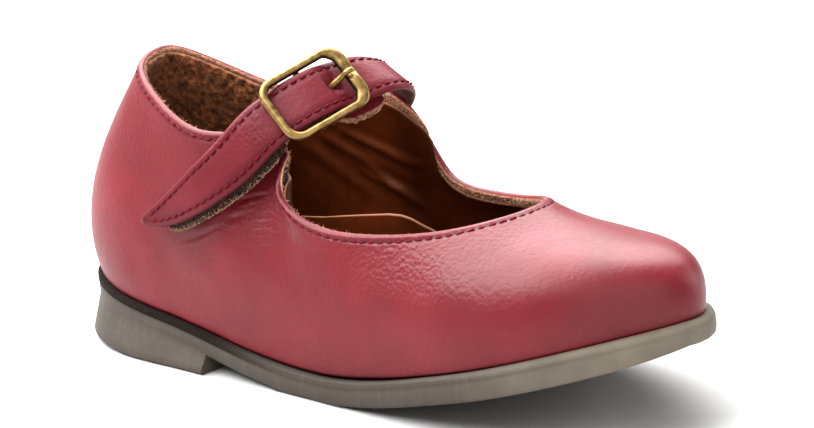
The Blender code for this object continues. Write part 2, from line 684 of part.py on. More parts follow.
def inset_side(stations, outer_side):
    """Sideways reach of the inside of the shoe at distances along it."""
    toe_place = SECTION_PLACES[TOE_SECTION]
    start, end = (0.0, toe_place) if outer_side else (GIRTH, toe_place)
    places = np.linspace(start, end, 1500)
    points, outward = outline(places)
    points = points - outward * (ledge_at(points[:, 0]) + WALL + CLEARANCE)[:, None]
    return np.interp(stations, np.maximum.accumulate(points[:, 0]), points[:, 1])


def slab_faces(rows, columns):
    """Faces of a slab whose lower grid of points comes before its upper one."""
    def at(level, row, column):
        return (level * rows + row) * columns + column

    faces = []
    for row in range(rows - 1):
        for column in range(columns - 1):
            faces.append((at(1, row, column), at(1, row, column + 1),
                          at(1, row + 1, column + 1), at(1, row + 1, column)))
            faces.append((at(0, row + 1, column), at(0, row + 1, column + 1),
                          at(0, row, column + 1), at(0, row, column)))
    for column in range(columns - 1):
        faces.append((at(0, 0, column), at(0, 0, column + 1), at(1, 0, column + 1), at(1, 0, column)))
        faces.append((at(1, rows - 1, column), at(1, rows - 1, column + 1),
                      at(0, rows - 1, column + 1), at(0, rows - 1, column)))
    for row in range(rows - 1):
        faces.append((at(1, row, 0), at(1, row + 1, 0), at(0, row + 1, 0), at(0, row, 0)))
        faces.append((at(0, row, columns - 1), at(0, row + 1, columns - 1),
                      at(1, row + 1, columns - 1), at(1, row, columns - 1)))
    return faces


def main():
    for item in list(bpy.data.objects):
        bpy.data.objects.remove(item, do_unlink=True)
    strap = StrapLine()
    buckle = BuckleFrame(strap)
    build_outsole()
    build_insole()
    build_upper(strap)
    build_strap(strap, buckle)
    build_hook_patch(strap)
    build_loop_patch(strap)
    build_buckle_frame(buckle)
    build_buckle_prong(buckle)


main()
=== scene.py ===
import math
import bmesh
import bpy
import numpy as np
from mathutils import Matrix, Vector


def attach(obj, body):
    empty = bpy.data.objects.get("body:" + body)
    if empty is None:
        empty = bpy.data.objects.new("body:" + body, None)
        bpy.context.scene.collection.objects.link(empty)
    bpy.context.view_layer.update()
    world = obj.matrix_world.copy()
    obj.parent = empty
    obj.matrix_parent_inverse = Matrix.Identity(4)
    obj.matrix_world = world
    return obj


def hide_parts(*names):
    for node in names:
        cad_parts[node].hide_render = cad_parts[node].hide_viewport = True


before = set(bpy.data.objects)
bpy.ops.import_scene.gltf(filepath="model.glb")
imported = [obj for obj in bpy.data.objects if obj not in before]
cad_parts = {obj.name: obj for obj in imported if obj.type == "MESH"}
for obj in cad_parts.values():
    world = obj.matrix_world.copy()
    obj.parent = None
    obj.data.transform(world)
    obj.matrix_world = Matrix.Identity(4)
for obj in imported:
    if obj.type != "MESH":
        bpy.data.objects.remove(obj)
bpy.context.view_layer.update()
print("frame loaded:", sorted(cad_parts))

# The shoe's own sizes, in metres: +X to the toe, +Y to the inner side
shoe = {
    "length": 0.148,
    "ballWidth": 0.056,
    "collarHeight": 0.060,
    "heelCentre": 0.022,
    "wall": 0.0018,
    "heelLedge": 0.0009,
    "toeLedge": 0.0019,
    "clearance": 0.0003,
    "fanShare": 0.21,
    "toeRow": 13,
}

# One row for each section round the shoe, from the heel back along the outer side to the toe and back
sectionNames = ("along", "side", "rimAlong", "rimSide", "rimHeight", "swell", "belly", "lean", "drop")
sectionRows = (
    (0.000, 0.000, 0.096, 0.000, 0.985, 0.112, 0.34, 0.135, 0.30),
    (0.035, -0.250, 0.117, -0.157, 0.965, 0.100, 0.34, 0.125, 0.30),
    (0.130, -0.400, 0.185, -0.275, 0.895, 0.055, 0.34, 0.060, 0.34),
    (0.250, -0.418, 0.275, -0.330, 0.820, 0.035, 0.34, 0.055, 0.34),
    (0.350, -0.428, 0.343, -0.305, 0.818, 0.035, 0.34, 0.085, 0.34),
    (0.420, -0.435, 0.392, -0.246, 0.805, 0.035, 0.34, 0.125, 0.34),
    (0.490, -0.442, 0.418, -0.266, 0.752, 0.035, 0.34, 0.115, 0.34),
    (0.550, -0.448, 0.431, -0.346, 0.668, 0.035, 0.34, 0.060, 0.34),
    (0.620, -0.455, 0.496, -0.375, 0.580, 0.035, 0.36, 0.040, 0.34),
    (0.710, -0.458, 0.612, -0.344, 0.577, 0.035, 0.42, 0.060, 0.30),
    (0.800, -0.437, 0.696, -0.268, 0.608, 0.030, 0.56, 0.130, 0.28),
    (0.885, -0.352, 0.740, -0.160, 0.633, 0.025, 0.78, 0.215, 0.30),
    (0.965, -0.170, 0.758, -0.055, 0.645, 0.040, 0.92, 0.270, 0.36),
    (1.004, 0.075, 0.756, 0.036, 0.645, 0.045, 1.00, 0.285, 0.44),
    (0.962, 0.252, 0.743, 0.108, 0.637, 0.045, 0.98, 0.270, 0.50),
    (0.895, 0.398, 0.713, 0.188, 0.617, 0.035, 0.84, 0.225, 0.48),
    (0.800, 0.497, 0.655, 0.268, 0.583, 0.030, 0.62, 0.160, 0.38),
    (0.700, 0.525, 0.581, 0.321, 0.563, 0.035, 0.42, 0.110, 0.28),
    (0.600, 0.480, 0.514, 0.339, 0.592, 0.035, 0.38, 0.080, 0.34),
    (0.520, 0.410, 0.480, 0.325, 0.717, 0.035, 0.34, 0.060, 0.34),
    (0.460, 0.370, 0.466, 0.262, 0.838, 0.035, 0.34, 0.080, 0.34),
    (0.400, 0.345, 0.415, 0.262, 0.872, 0.035, 0.34, 0.080, 0.34),
    (0.320, 0.350, 0.324, 0.304, 0.825, 0.035, 0.34, 0.060, 0.34),
    (0.210, 0.375, 0.216, 0.295, 0.825, 0.035, 0.34, 0.060, 0.34),
    (0.110, 0.370, 0.149, 0.205, 0.900, 0.040, 0.32, 0.065, 0.34),
    (0.030, 0.235, 0.108, 0.098, 0.967, 0.050, 0.30, 0.070, 0.34),
)

# The sole's upper face from heel back to toe: along as a share of the length, and height in metres
seatRows = (
    (-0.05, 0.01380), (0.00, 0.01380), (0.16, 0.01164), (0.30, 0.00840), (0.43, 0.00541), (0.53, 0.00500),
    (0.61, 0.00663), (0.70, 0.00989), (0.80, 0.01380), (0.90, 0.01788), (1.00, 0.02130),
)


def unitOf(vectors):
    vectors = np.asarray(vectors, float)
    return vectors / np.maximum(np.linalg.norm(vectors, axis=-1, keepdims=True), 1e-12)


def runLengths(points):
    steps = np.linalg.norm(np.diff(points, axis=0), axis=1)
    return np.concatenate([[0.0], np.cumsum(steps)])


def makeSpline(values, knots, closed):  # cubic, and it closes on itself when closed
    values = np.asarray(values, float)
    count = len(values)
    spans = np.diff(knots)
    matrix = np.eye(count)
    right = np.zeros(values.shape)
    for row in range(count):
        if not closed and row in (0, count - 1):
            continue
        before, after = spans[row - 1], spans[row]
        last, following = values[row - 1], values[(row + 1) % count]
        matrix[row, row] = 2 * (before + after)
        matrix[row, row - 1] = before
        matrix[row, (row + 1) % count] = after
        right[row] = 6 * ((following - values[row]) / after - (values[row] - last) / before)
    bends = np.linalg.solve(matrix, right)
    if closed:
        values = np.vstack([values, values[:1]])
        bends = np.vstack([bends, bends[:1]])

    def at(places):
        places = np.asarray(places, float)
        if closed:
            places = np.mod(places, knots[-1])
        cell = np.clip(np.searchsorted(knots, places, side="right") - 1, 0, len(knots) - 2)
        span = (knots[cell + 1] - knots[cell])[..., None]
        left = (knots[cell + 1] - places)[..., None] / span
        near = 1.0 - left
        sag = ((left ** 3 - left) * bends[cell] + (near ** 3 - near) * bends[cell + 1]) * span ** 2 / 6
        return left * values[cell] + near * values[cell + 1] + sag

    return at


def smoothStep(low, high, value):
    share = np.clip((np.asarray(value, float) - low) / (high - low), 0, 1)
    return share * share * (3 - 2 * share)


# Smooth random field in space, the same each run
def softNoise(points, size, seed):
    places = np.asarray(points, float) / size + 1000.0
    base = np.floor(places).astype(np.int64)
    part = places - base
    part = part * part * (3 - 2 * part)
    total = np.zeros(places.shape[:-1])
    for dx in (0, 1):
        for dy in (0, 1):
            for dz in (0, 1):
                code = ((base[..., 0] + dx) * 73856093) ^ ((base[..., 1] + dy) * 19349663)
                code = code ^ ((base[..., 2] + dz) * 83492791) ^ (seed * 2654435761)
                code = (code ^ (code >> 13)) * 1274126177 & 0x7FFFFFFF
                value = (code % 100003) / 50001.5 - 1.0
                weight = (np.abs(1 - dx - part[..., 0]) * np.abs(1 - dy - part[..., 1])
                          * np.abs(1 - dz - part[..., 2]))
                total += value * weight
    return total


alongColumns = np.array([name in ("along", "rimAlong") for name in sectionNames])
sideColumns = np.array([name in ("side", "rimSide", "swell", "lean") for name in sectionNames])
sectionScale = np.where(alongColumns, shoe["length"], np.where(sideColumns, shoe["ballWidth"], 1.0))
sectionScale[sectionNames.index("rimHeight")] = shoe["collarHeight"]
sectionValues = np.array(sectionRows) * sectionScale - np.where(alongColumns, shoe["heelCentre"], 0.0)
sectionPlaces = runLengths(np.vstack([sectionValues[:, :2], sectionValues[:1, :2]]))
girth = sectionPlaces[-1]
sectionAt = makeSpline(sectionValues, sectionPlaces, True)
seatAlong = np.array([row[0] for row in seatRows]) * shoe["length"] - shoe["heelCentre"]
seatAt = makeSpline([[row[1]] for row in seatRows], seatAlong, False)


def seatHeight(along):
    return seatAt(np.clip(along, seatAlong[0], seatAlong[-1]))[..., 0]


def ledgeAt(along):
    share = np.clip((along + shoe["heelCentre"]) / shoe["length"], 0, 1)
    return shoe["heelLedge"] + (shoe["toeLedge"] - shoe["heelLedge"]) * share


def soleOutline(places, inset=0.0):
    step = girth / 2000
    run = (sectionAt(places + step) - sectionAt(places - step))[..., :2]
    outward = unitOf(np.stack([run[..., 1], -run[..., 0]], axis=-1))
    return sectionAt(places)[..., :2] - outward * inset, outward


def upperSheet(places, climbs):
    places = np.asarray(places, float)
    rows = sectionAt(places)
    feather, outward = soleOutline(places, ledgeAt(rows[:, :1]))
    foot = np.column_stack([feather, seatHeight(feather[:, 0]) + shoe["clearance"]])
    rim = rows[:, 2:5]
    height = (rim[:, 2] - foot[:, 2])[:, None]
    spread = unitOf(foot[:, :2] - rim[:, :2] + outward * shoe["ballWidth"] * shoe["fanShare"])
    flat = np.zeros((len(places), 1))
    up = np.array([0.0, 0.0, 1.0])
    lowHandle = foot + np.hstack([outward * rows[:, 5:6], flat]) + up * height * rows[:, 6:7]
    highHandle = rim + np.hstack([spread * rows[:, 7:8], flat]) - up * height * rows[:, 8:9]
    climb = np.asarray(climbs, float)[None, :, None]
    fall = 1.0 - climb
    return (fall ** 3 * foot[:, None] + 3 * fall ** 2 * climb * lowHandle[:, None]
            + 3 * fall * climb ** 2 * highHandle[:, None] + climb ** 3 * rim[:, None])


def sheetFacing(places, climbs):
    places = np.asarray(places, float)
    climbs = np.asarray(climbs, float)
    step = girth / 1500
    around = upperSheet(places + step, climbs) - upperSheet(places - step, climbs)
    high = np.minimum(climbs + 0.004, 1.0)
    low = np.maximum(climbs - 0.004, 0.0)
    return unitOf(np.cross(around, upperSheet(places, high) - upperSheet(places, low)))


def wallPoint(along, height, outerSide):  # along and height as shares of length and collar height
    target = np.array([along * shoe["length"] - shoe["heelCentre"], height * shoe["collarHeight"]])
    toePlace = sectionPlaces[shoe["toeRow"]]
    start, end = (0.0, toePlace) if outerSide else (toePlace, girth)
    climbRange = (0.0, 1.0)
    for _ in range(5):
        places = np.linspace(start, end, 60)
        climbs = np.linspace(*climbRange, 40)
        misses = np.linalg.norm(upperSheet(places, climbs)[..., [0, 2]] - target, axis=-1)
        row, column = np.unravel_index(np.argmin(misses), misses.shape)
        reach = (end - start) / 20
        start, end = places[row] - reach, places[row] + reach
        spread = (climbRange[1] - climbRange[0]) / 14
        climbRange = (max(climbs[column] - spread, 0.0), min(climbs[column] + spread, 1.0))
    place = places[row:row + 1]
    climb = climbs[column:column + 1]
    return upperSheet(place, climb)[0, 0], sheetFacing(place, climb)[0, 0]


# Meshes and objects

def gridFaces(rows, columns, closeRows=False, closeColumns=False):
    rowIndex = np.arange(rows if closeRows else rows - 1)
    columnIndex = np.arange(columns if closeColumns else columns - 1)
    r, c = np.meshgrid(rowIndex, columnIndex, indexing="ij")
    nextRow, nextColumn = (r + 1) % rows, (c + 1) % columns
    faces = np.stack([r * columns + c, r * columns + nextColumn, nextRow * columns + nextColumn,
                      nextRow * columns + c], axis=-1)
    return faces.reshape(-1, 4)


def makePiece(name, vertices, faces, material, slotName, attributes=None, edges=()):
    mesh = bpy.data.meshes.new(name)
    mesh.from_pydata(np.asarray(vertices, float).reshape(-1, 3).tolist(), list(edges),
                     [tuple(int(corner) for corner in face) for face in faces])
    for key, values in (attributes or {}).items():
        values = np.asarray(values, np.float32)
        kind = "FLOAT_VECTOR" if values.ndim > 1 and values.shape[-1] == 3 else "FLOAT"
        layer = mesh.attributes.new(key, kind, "POINT")
        layer.data.foreach_set("vector" if kind == "FLOAT_VECTOR" else "value", values.ravel())
    mesh.shade_smooth()
    piece = bpy.data.objects.new(name, mesh)
    bpy.context.scene.collection.objects.link(piece)
    if material is not None:
        mesh.materials.append(material)
    if slotName:
        settle(piece)
    return piece


def settle(piece):
    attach(piece, "root")
    return piece


def bakeModifiers(piece):  # the evaluated shape becomes the piece's own plain mesh
    graph = bpy.context.evaluated_depsgraph_get()
    mesh = bpy.data.meshes.new_from_object(piece.evaluated_get(graph), preserve_all_data_layers=True,
                                           depsgraph=graph)
    old = piece.data
    piece.modifiers.clear()
    piece.data = mesh
    bpy.data.meshes.remove(old)
    return piece


def socketId(tree, name):
    return next(item.identifier for item in tree.interface.items_tree if item.item_type == "SOCKET"
                and item.in_out == "INPUT" and item.name == name)


# Materials

def newMaterial(name):
    material = bpy.data.materials.new(name)
    material.use_nodes = True
    tree = material.node_tree
    return material, tree, tree.nodes["Principled BSDF"]


def addNode(tree, kind, inputs=None, **settings):
    node = tree.nodes.new(kind)
    for key, value in settings.items():
        setattr(node, key, value)
    for key, value in (inputs or {}).items():
        socket = node.inputs[key]
        if isinstance(value, bpy.types.NodeSocket):
            tree.links.new(value, socket)
        else:
            socket.default_value = value
    return node


def addRamp(tree, factor, stops):
    ramp = addNode(tree, "ShaderNodeValToRGB", {"Fac": factor})
    elements = ramp.color_ramp.elements
    while len(elements) < len(stops):
        elements.new(0.5)
    for element, (place, color) in zip(elements, stops):
        element.position = place
        element.color = (*color, 1.0) if len(color) == 3 else color
    return ramp.outputs["Color"]


def mixColor(tree, factor, first, second, blend="MIX"):
    node = tree.nodes.new("ShaderNodeMix")
    node.data_type = "RGBA"
    node.blend_type = blend
    for index, value in ((0, factor), (6, first), (7, second)):
        socket = node.inputs[index]
        if isinstance(value, bpy.types.NodeSocket):
            tree.links.new(value, socket)
        else:
            socket.default_value = (*value, 1.0) if isinstance(value, tuple) and len(value) == 3 else value
    return node.outputs[2]


def mathNode(tree, operation, first, second=0.0, third=None):
    inputs = {0: first, 1: second}
    if third is not None:
        inputs[2] = third
    return addNode(tree, "ShaderNodeMath", inputs, operation=operation).outputs[0]


def attributeValue(tree, name):
    return addNode(tree, "ShaderNodeAttribute", attribute_name=name,
                   attribute_type="GEOMETRY").outputs["Fac"]


def objectPlace(tree, scale=(1.0, 1.0, 1.0)):
    place = addNode(tree, "ShaderNodeTexCoord").outputs["Object"]
    return addNode(tree, "ShaderNodeMapping", {"Vector": place, "Scale": scale}).outputs["Vector"]


def noiseTexture(tree, vector, scale, detail=2.0, roughness=0.5):
    node = addNode(tree, "ShaderNodeTexNoise", {"Vector": vector, "Scale": scale, "Detail": detail,
                                                "Roughness": roughness})
    return node.outputs["Fac"]


def bumpNode(tree, height, strength, distance, normal=None):
    inputs = {"Height": height, "Strength": strength, "Distance": distance}
    if normal is not None:
        inputs["Normal"] = normal
    return addNode(tree, "ShaderNodeBump", inputs).outputs["Normal"]


leatherLook = {
    "deepRed": (0.125, 0.0032, 0.0085),
    "midRed": (0.155, 0.0050, 0.0120),
    "dustyRed": (0.190, 0.0085, 0.0175),
    # colour of the painted shade along the stitch grooves
    "seamShadeRed": (0.045, 0.0012, 0.0040),
    "rawTan": (0.58, 0.30, 0.190),
    # colour of the painted shade on hidden raw faces and undersides
    "rawShade": (0.030, 0.009, 0.003),
    "grainSize": 0.00074,
    "roughness": 0.46,
    "coat": 0.03,
    "gloss": 0.52,
}


def makeLeather(name, look, grainGain=1.0):
    material, tree, shader = newMaterial(name)
    place = objectPlace(tree)
    grainShare = attributeValue(tree, "grain")
    rawShare = attributeValue(tree, "raw")
    broad = noiseTexture(tree, place, 60.0, 3.0)
    fine = noiseTexture(tree, place, 900.0, 3.0, 0.6)
    color = addRamp(tree, broad, ((0.30, look["deepRed"]), (0.52, look["midRed"]), (0.75, look["dustyRed"])))
    color = mixColor(tree, mathNode(tree, "MULTIPLY", fine, 0.35), color, look["midRed"])
    pebbles = addNode(tree, "ShaderNodeTexVoronoi", {"Vector": place, "Scale": 1.0 / look["grainSize"],
                                                     "Randomness": 1.0}, feature="SMOOTH_F1")
    pebbleHeight = mathNode(tree, "SUBTRACT", 1.0, pebbles.outputs["Distance"])
    # Painted shade: the crevices between the pebbles are darkened towards deepRed, more where the grain is
    # strong
    pebbleCreaseShade = mathNode(tree, "MULTIPLY", mathNode(tree, "SUBTRACT", pebbles.outputs["Distance"], 0.45),
                          mathNode(tree, "MULTIPLY", grainShare, 0.9))
    color = mixColor(tree, pebbleCreaseShade, color, look["deepRed"])
    # Painted shade: a dark line along the stitch groove
    color = mixColor(tree, attributeValue(tree, "seamShade"), color, look["seamShadeRed"])
    rawNoise = noiseTexture(tree, place, 1400.0, 4.0, 0.75)
    rawColor = addRamp(tree, rawNoise, ((0.36, tuple(0.28 * c for c in look["rawTan"])),
                                        (0.52, look["rawTan"]),
                                        (0.68, tuple(min(1.0, 1.3 * c) for c in look["rawTan"]))))
    # Painted shade: raw faces turn towards rawShade where the dark attribute says, on hidden inner faces and
    # undersides
    rawColor = mixColor(tree, attributeValue(tree, "dark"), rawColor, look["rawShade"])
    color = mixColor(tree, rawShare, color, rawColor)
    tree.links.new(color, shader.inputs["Base Color"])
    rough = mathNode(tree, "MULTIPLY_ADD", fine, 0.14, look["roughness"] - 0.07)
    rough = mathNode(tree, "MULTIPLY_ADD", rawShare, 0.45, rough)
    tree.links.new(rough, shader.inputs["Roughness"])
    shader.inputs["Coat Weight"].default_value = look["coat"]
    shader.inputs["Specular IOR Level"].default_value = look["gloss"]
    shader.inputs["Coat Roughness"].default_value = 0.30
    strength = mathNode(tree, "MULTIPLY_ADD", grainShare, 0.75 * grainGain, 0.10)
    creased = noiseTexture(tree, place, 260.0, 4.0, 0.62)
    normal = bumpNode(tree, creased, 0.10, 0.00040)
    normal = bumpNode(tree, fine, 0.50, 0.00009, normal)
    normal = bumpNode(tree, pebbleHeight, strength, 0.00017, normal)
    normal = bumpNode(tree, rawNoise, mathNode(tree, "MULTIPLY", rawShare, 0.9), 0.0003, normal)
    tree.links.new(normal, shader.inputs["Normal"])
    return material


def makeLining(name, dark, light, suede):
    material, tree, shader = newMaterial(name)
    place = objectPlace(tree)
    broad = noiseTexture(tree, place, 700.0 if suede else 90.0, 3.0, 0.7)
    streak = noiseTexture(tree, objectPlace(tree, (0.5, 1.0, 2.0)), 1500.0 if suede else 500.0, 4.0, 0.7)
    rawShare = attributeValue(tree, "raw")
    color = addRamp(tree, broad, ((0.36, dark), (0.66, light)))
    color = mixColor(tree, mathNode(tree, "MULTIPLY", streak, 0.25), color,
                     tuple(min(1.0, 1.7 * c) for c in light))
    color = mixColor(tree, rawShare, color, leatherLook["rawTan"])
    tree.links.new(color, shader.inputs["Base Color"])
    shader.inputs["Roughness"].default_value = 0.95 if suede else 0.48
    shader.inputs["Specular IOR Level"].default_value = 0.2 if suede else 0.18
    if suede:
        shader.inputs["Sheen Weight"].default_value = 0.15
        shader.inputs["Sheen Roughness"].default_value = 0.5
    normal = bumpNode(tree, streak, 0.8 if suede else 0.2, 0.0004 if suede else 0.00008)
    tree.links.new(normal, shader.inputs["Normal"])
    return material


upperMaterial = makeLeather("burgundyLeather", leatherLook)
strapMaterial = makeLeather("burgundyStrapLeather", {
    **leatherLook,
    "deepRed": (0.108, 0.0065, 0.0125),
    "midRed": (0.138, 0.0100, 0.0185),
    "dustyRed": (0.172, 0.0150, 0.0260),
    "roughness": 0.50,
    "gloss": 0.32,
})
quarterLiningMaterial = makeLining("brownLining", (0.042, 0.0080, 0.0012), (0.080, 0.018, 0.0030), False)
heelLiningMaterial = makeLining("brownSuede", (0.028, 0.008, 0.002), (0.400, 0.165, 0.070), True)
rawFibreMaterial = makeLining("rawFibre", (0.440, 0.190, 0.120), (0.860, 0.520, 0.360), True)
insoleMaterial = makeLining("footbedLeather", (0.070, 0.0150, 0.0028), (0.105, 0.026, 0.0055), False)
print("materials ready")


# Upper: outer face, folded top edge and inner face of one sheet of leather
upper = {
    "around": 640,
    "up": 96,
    "foldSteps": 9,
    "leatherThickness": 0.0012,
    "stitchDrop": 0.0016,
    "stitchGroove": 0.00016,
    "edgePad": 0.00006,
    "pucker": 0.00005,
    "unevenness": 0.00016,
    "evenReach": 0.0090,
    "evenPlace": 0.050,
    "evenSpread": 0.022,
    "evenBelow": (0.66, 0.98),
}

# Wrinkles on the outer and inner walls, listed one by one: x and z of their points in mm, width and depth in
# mm
wrinkles = (
    ("outer", ((39.4, 38.0), (34.9, 37.2), (31.9, 35.9)), 0.55, 0.30),
    ("outer", ((40.2, 36.9), (35.7, 35.8), (32.5, 34.5)), 0.50, 0.28),
    ("outer", ((40.0, 35.8), (36.3, 34.6), (32.8, 33.3), (29.9, 32.6)), 0.55, 0.30),
    ("outer", ((40.1, 34.1), (36.1, 33.3), (32.2, 31.9)), 0.50, 0.22),
    ("outer", ((41.0, 32.4), (37.0, 31.8), (33.5, 30.6)), 0.50, 0.16),
    ("outer", ((28.5, 31.1), (23.6, 28.9), (18.1, 27.5)), 0.45, 0.14),
    ("outer", ((26.0, 29.6), (22.0, 27.9), (17.5, 26.8)), 0.42, 0.11),
    ("outer", ((24.5, 28.6), (20.8, 27.2), (16.8, 26.3)), 0.40, 0.09),
    ("outer", ((38.6, 39.4), (35.2, 38.7), (33.0, 37.7)), 0.38, 0.16),
    ("outer", ((41.4, 31.0), (38.0, 30.6), (34.9, 29.6)), 0.42, 0.12),
    ("outer", ((37.6, 35.2), (34.4, 34.2), (31.4, 33.5)), 0.34, 0.14),
    ("outer", ((36.8, 33.9), (33.4, 33.0), (30.4, 31.9)), 0.36, 0.12),
    ("outer", ((42.6, 29.6), (39.4, 29.3), (36.2, 28.5)), 0.42, 0.09),
    ("inner", ((44.0, 43.0), (40.0, 40.5), (36.0, 39.5)), 0.8, 0.35),
    ("inner", ((45.0, 40.0), (41.0, 37.5), (36.5, 36.5)), 0.8, 0.35),
    ("inner", ((46.5, 37.0), (42.0, 34.5), (37.5, 33.8)), 0.8, 0.35),
    ("inner", ((48.5, 34.0), (44.0, 31.5), (39.5, 31.0)), 0.8, 0.30),
)


def wrinkleDepth(points, faceSide):  # how far each point sinks, from its distance to the wrinkles
    depth = np.zeros(points.shape[:-1])
    for side, line, width, deep in wrinkles:
        line = np.array(line) / 1000
        mask = (points[..., 1] < 0) if side == "outer" else (points[..., 1] > 0)
        flat = points[..., [0, 2]]
        nearest = np.full(points.shape[:-1], 1.0)
        fade = np.zeros(points.shape[:-1])
        total = np.linalg.norm(line[-1] - line[0])
        for start, end in zip(line[:-1], line[1:]):
            run = end - start
            share = np.clip(((flat - start) @ run) / (run @ run), 0, 1)
            gap = np.linalg.norm(flat - (start + share[..., None] * run), axis=-1)
            travelled = np.linalg.norm(start - line[0]) + share * np.linalg.norm(run)
            closer = gap < nearest
            nearest = np.where(closer, gap, nearest)
            fade = np.where(closer, np.sin(np.clip(travelled / total, 0.0, 1.0) * math.pi) ** 0.5, fade)
        size = width / 1000
        trough = np.exp(-(nearest / size) ** 2) - 0.45 * np.exp(-((nearest - 1.7 * size) / size) ** 2)
        depth += mask * fade * deep / 1000 * trough
    return depth * faceSide


def grainAmount(points):  # where the grain is pebbled: by the throat, over the heel and at the inner crown
    x, y, z = points[..., 0], points[..., 1], points[..., 2]
    throat = np.exp(-((x - 0.076) / 0.022) ** 2 - ((z - 0.0335) / 0.0085) ** 2) * (y < 0.012)
    heel = np.exp(-((x - 0.000) / 0.014) ** 2 - ((z - 0.047) / 0.012) ** 2) * 0.55
    corner = np.exp(-((x - 0.038) / 0.010) ** 2 - ((z - 0.034) / 0.008) ** 2) * 0.6
    crown = np.exp(-((x - 0.042) / 0.014) ** 2 - ((z - 0.038) / 0.013) ** 2) * (y > 0) * 1.2
    return np.clip(0.22 - 0.17 * smoothStep(0.076, 0.100, x) + throat + heel + corner + crown, 0, 1.2)


def foldedProfile(rimPoint, rimFacing, rimUp, thickness, steps):  # a half turn over the top edge
    radius = thickness / 2
    turns = np.linspace(0, math.pi, steps)[None, :, None]
    middle = rimPoint - rimFacing * radius - rimUp * radius
    return (middle[:, None] + rimFacing[:, None] * radius * np.cos(turns)
            + rimUp[:, None] * radius * np.sin(turns))


upperPlaces = np.arange(upper["around"]) * girth / upper["around"]
upperClimbs = np.linspace(0, 1, upper["up"])
outerFace = upperSheet(upperPlaces, upperClimbs)
outerNormal = sheetFacing(upperPlaces, upperClimbs)


def evenedRound(values, reach):  # a soft average round the shoe, reach in metres
    spread = np.minimum(np.arange(len(values)), len(values) - np.arange(len(values))) * girth / len(values)
    weights = np.exp(-0.5 * (spread / reach) ** 2)
    wave = np.fft.rfft(weights / weights.sum())[:, None, None]
    return np.fft.irfft(np.fft.rfft(values, axis=0) * wave, n=len(values), axis=0)


evenShare = (1 - smoothStep(*upper["evenBelow"], upperClimbs))[None, :, None]
evenShare = evenShare * np.exp(-((outerFace[:, -1:, :1] - upper["evenPlace"]) / upper["evenSpread"]) ** 2)
outerFace = outerFace + (evenedRound(outerFace, upper["evenReach"]) - outerFace) * evenShare
outerNormal = unitOf(outerNormal + (evenedRound(outerNormal, upper["evenReach"]) - outerNormal) * evenShare)
rimUp = unitOf(outerFace[:, -1] - outerFace[:, -4])
climbSteps = np.linalg.norm(np.diff(outerFace, axis=1), axis=-1)
fromRim = np.concatenate([np.cumsum(climbSteps[:, ::-1], axis=1)[:, ::-1],
                          np.zeros((len(upperPlaces), 1))], axis=1)


puckerTurns = round(girth / 0.0021)
puckerWave = np.cos(2 * math.pi * puckerTurns * upperPlaces / girth)[:, None]


def upperRelief(points, rimDistance):  # how far the outer face stands above its plain form
    size = upper["stitchGroove"]
    relief = -size * np.exp(-((rimDistance - upper["stitchDrop"]) / 0.00035) ** 2)
    relief += upper["edgePad"] * np.exp(-((rimDistance - 0.0008) / 0.0005) ** 2)
    relief += upper["pucker"] * puckerWave * np.exp(-((rimDistance - 0.0014) / 0.0011) ** 2)
    relief += (upper["unevenness"] * softNoise(points, 0.011, 3)
               + 0.5 * upper["unevenness"] * softNoise(points, 0.0045, 5))
    return relief - wrinkleDepth(points, 1.0)


def openRim(points):  # the top edge away from the ear and the strap's root
    x, y, z = points[..., 0], points[..., 1], points[..., 2]
    underStrap = (y < 0) & (x > 0.0300) & (x < 0.0415) & (z > 0.0385)
    underRoot = (y > 0) & (x > 0.034) & (x < 0.0455) & (z > 0.046)
    return ~(underStrap | underRoot)


relief = upperRelief(outerFace, fromRim)
leather = upper["leatherThickness"]
shaped = outerFace + outerNormal * relief[..., None]
keepRows = upper["up"] - 2  # the last rows give way to the fold
outerRings = [shaped[:, row] for row in range(keepRows)]
foldFoot = outerFace[:, -1] + outerNormal[:, -1] * relief[:, -1:]
fold = foldedProfile(foldFoot, outerNormal[:, -1], rimUp, leather + 0.0002, upper["foldSteps"])
foldRings = [fold[:, step] for step in range(upper["foldSteps"])]
innerFace = outerFace - outerNormal * leather + outerNormal * (relief * 0.6)[..., None]
innerRows = [row for row in range(keepRows - 1, -1, -4)]
if innerRows[-1] != 0:
    innerRows.append(0)
innerRings = [innerFace[:, row] for row in innerRows]
innerRings[-1] = innerRings[-1].copy()
innerRings[-1][:, 2] = outerRings[0][:, 2]
upperRings = outerRings + foldRings + innerRings
upperVertices = np.stack(upperRings)
upperDistance = np.concatenate([fromRim[:, :keepRows].T, np.zeros((len(foldRings), len(upperPlaces))),
                                -fromRim[:, innerRows].T])
rawShare = np.zeros(upperVertices.shape[:2])
rawShare[len(outerRings) + upper["foldSteps"] - 3:] = 1.0
# Painted shade: the inner face turns dark from about 3 mm below the top edge, and from just below it on the
# outer side forward of the heel
hiddenSide = (upperVertices[..., 1] < 0) & (upperVertices[..., 0] > 0.024)
innerFaceShade = smoothStep(0.0027, 0.0036, -upperDistance + 0.0026 * hiddenSide)
# Painted shade along the stitch groove below the top edge
seamShadeShare = 0.75 * np.exp(-((upperDistance - upper["stitchDrop"]) / 0.00034) ** 2)
seamShadeShare *= openRim(upperVertices)
upperPiece = makePiece("upperLeather", upperVertices,
                       gridFaces(len(upperRings), len(upperPlaces), True, True),
                       upperMaterial, "upper_leather",
                       {"grain": grainAmount(upperVertices).ravel(), "raw": rawShare.ravel(),
                        "dark": innerFaceShade.ravel(), "seamShade": seamShadeShare.ravel()})
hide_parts("upper")
print("upper made")


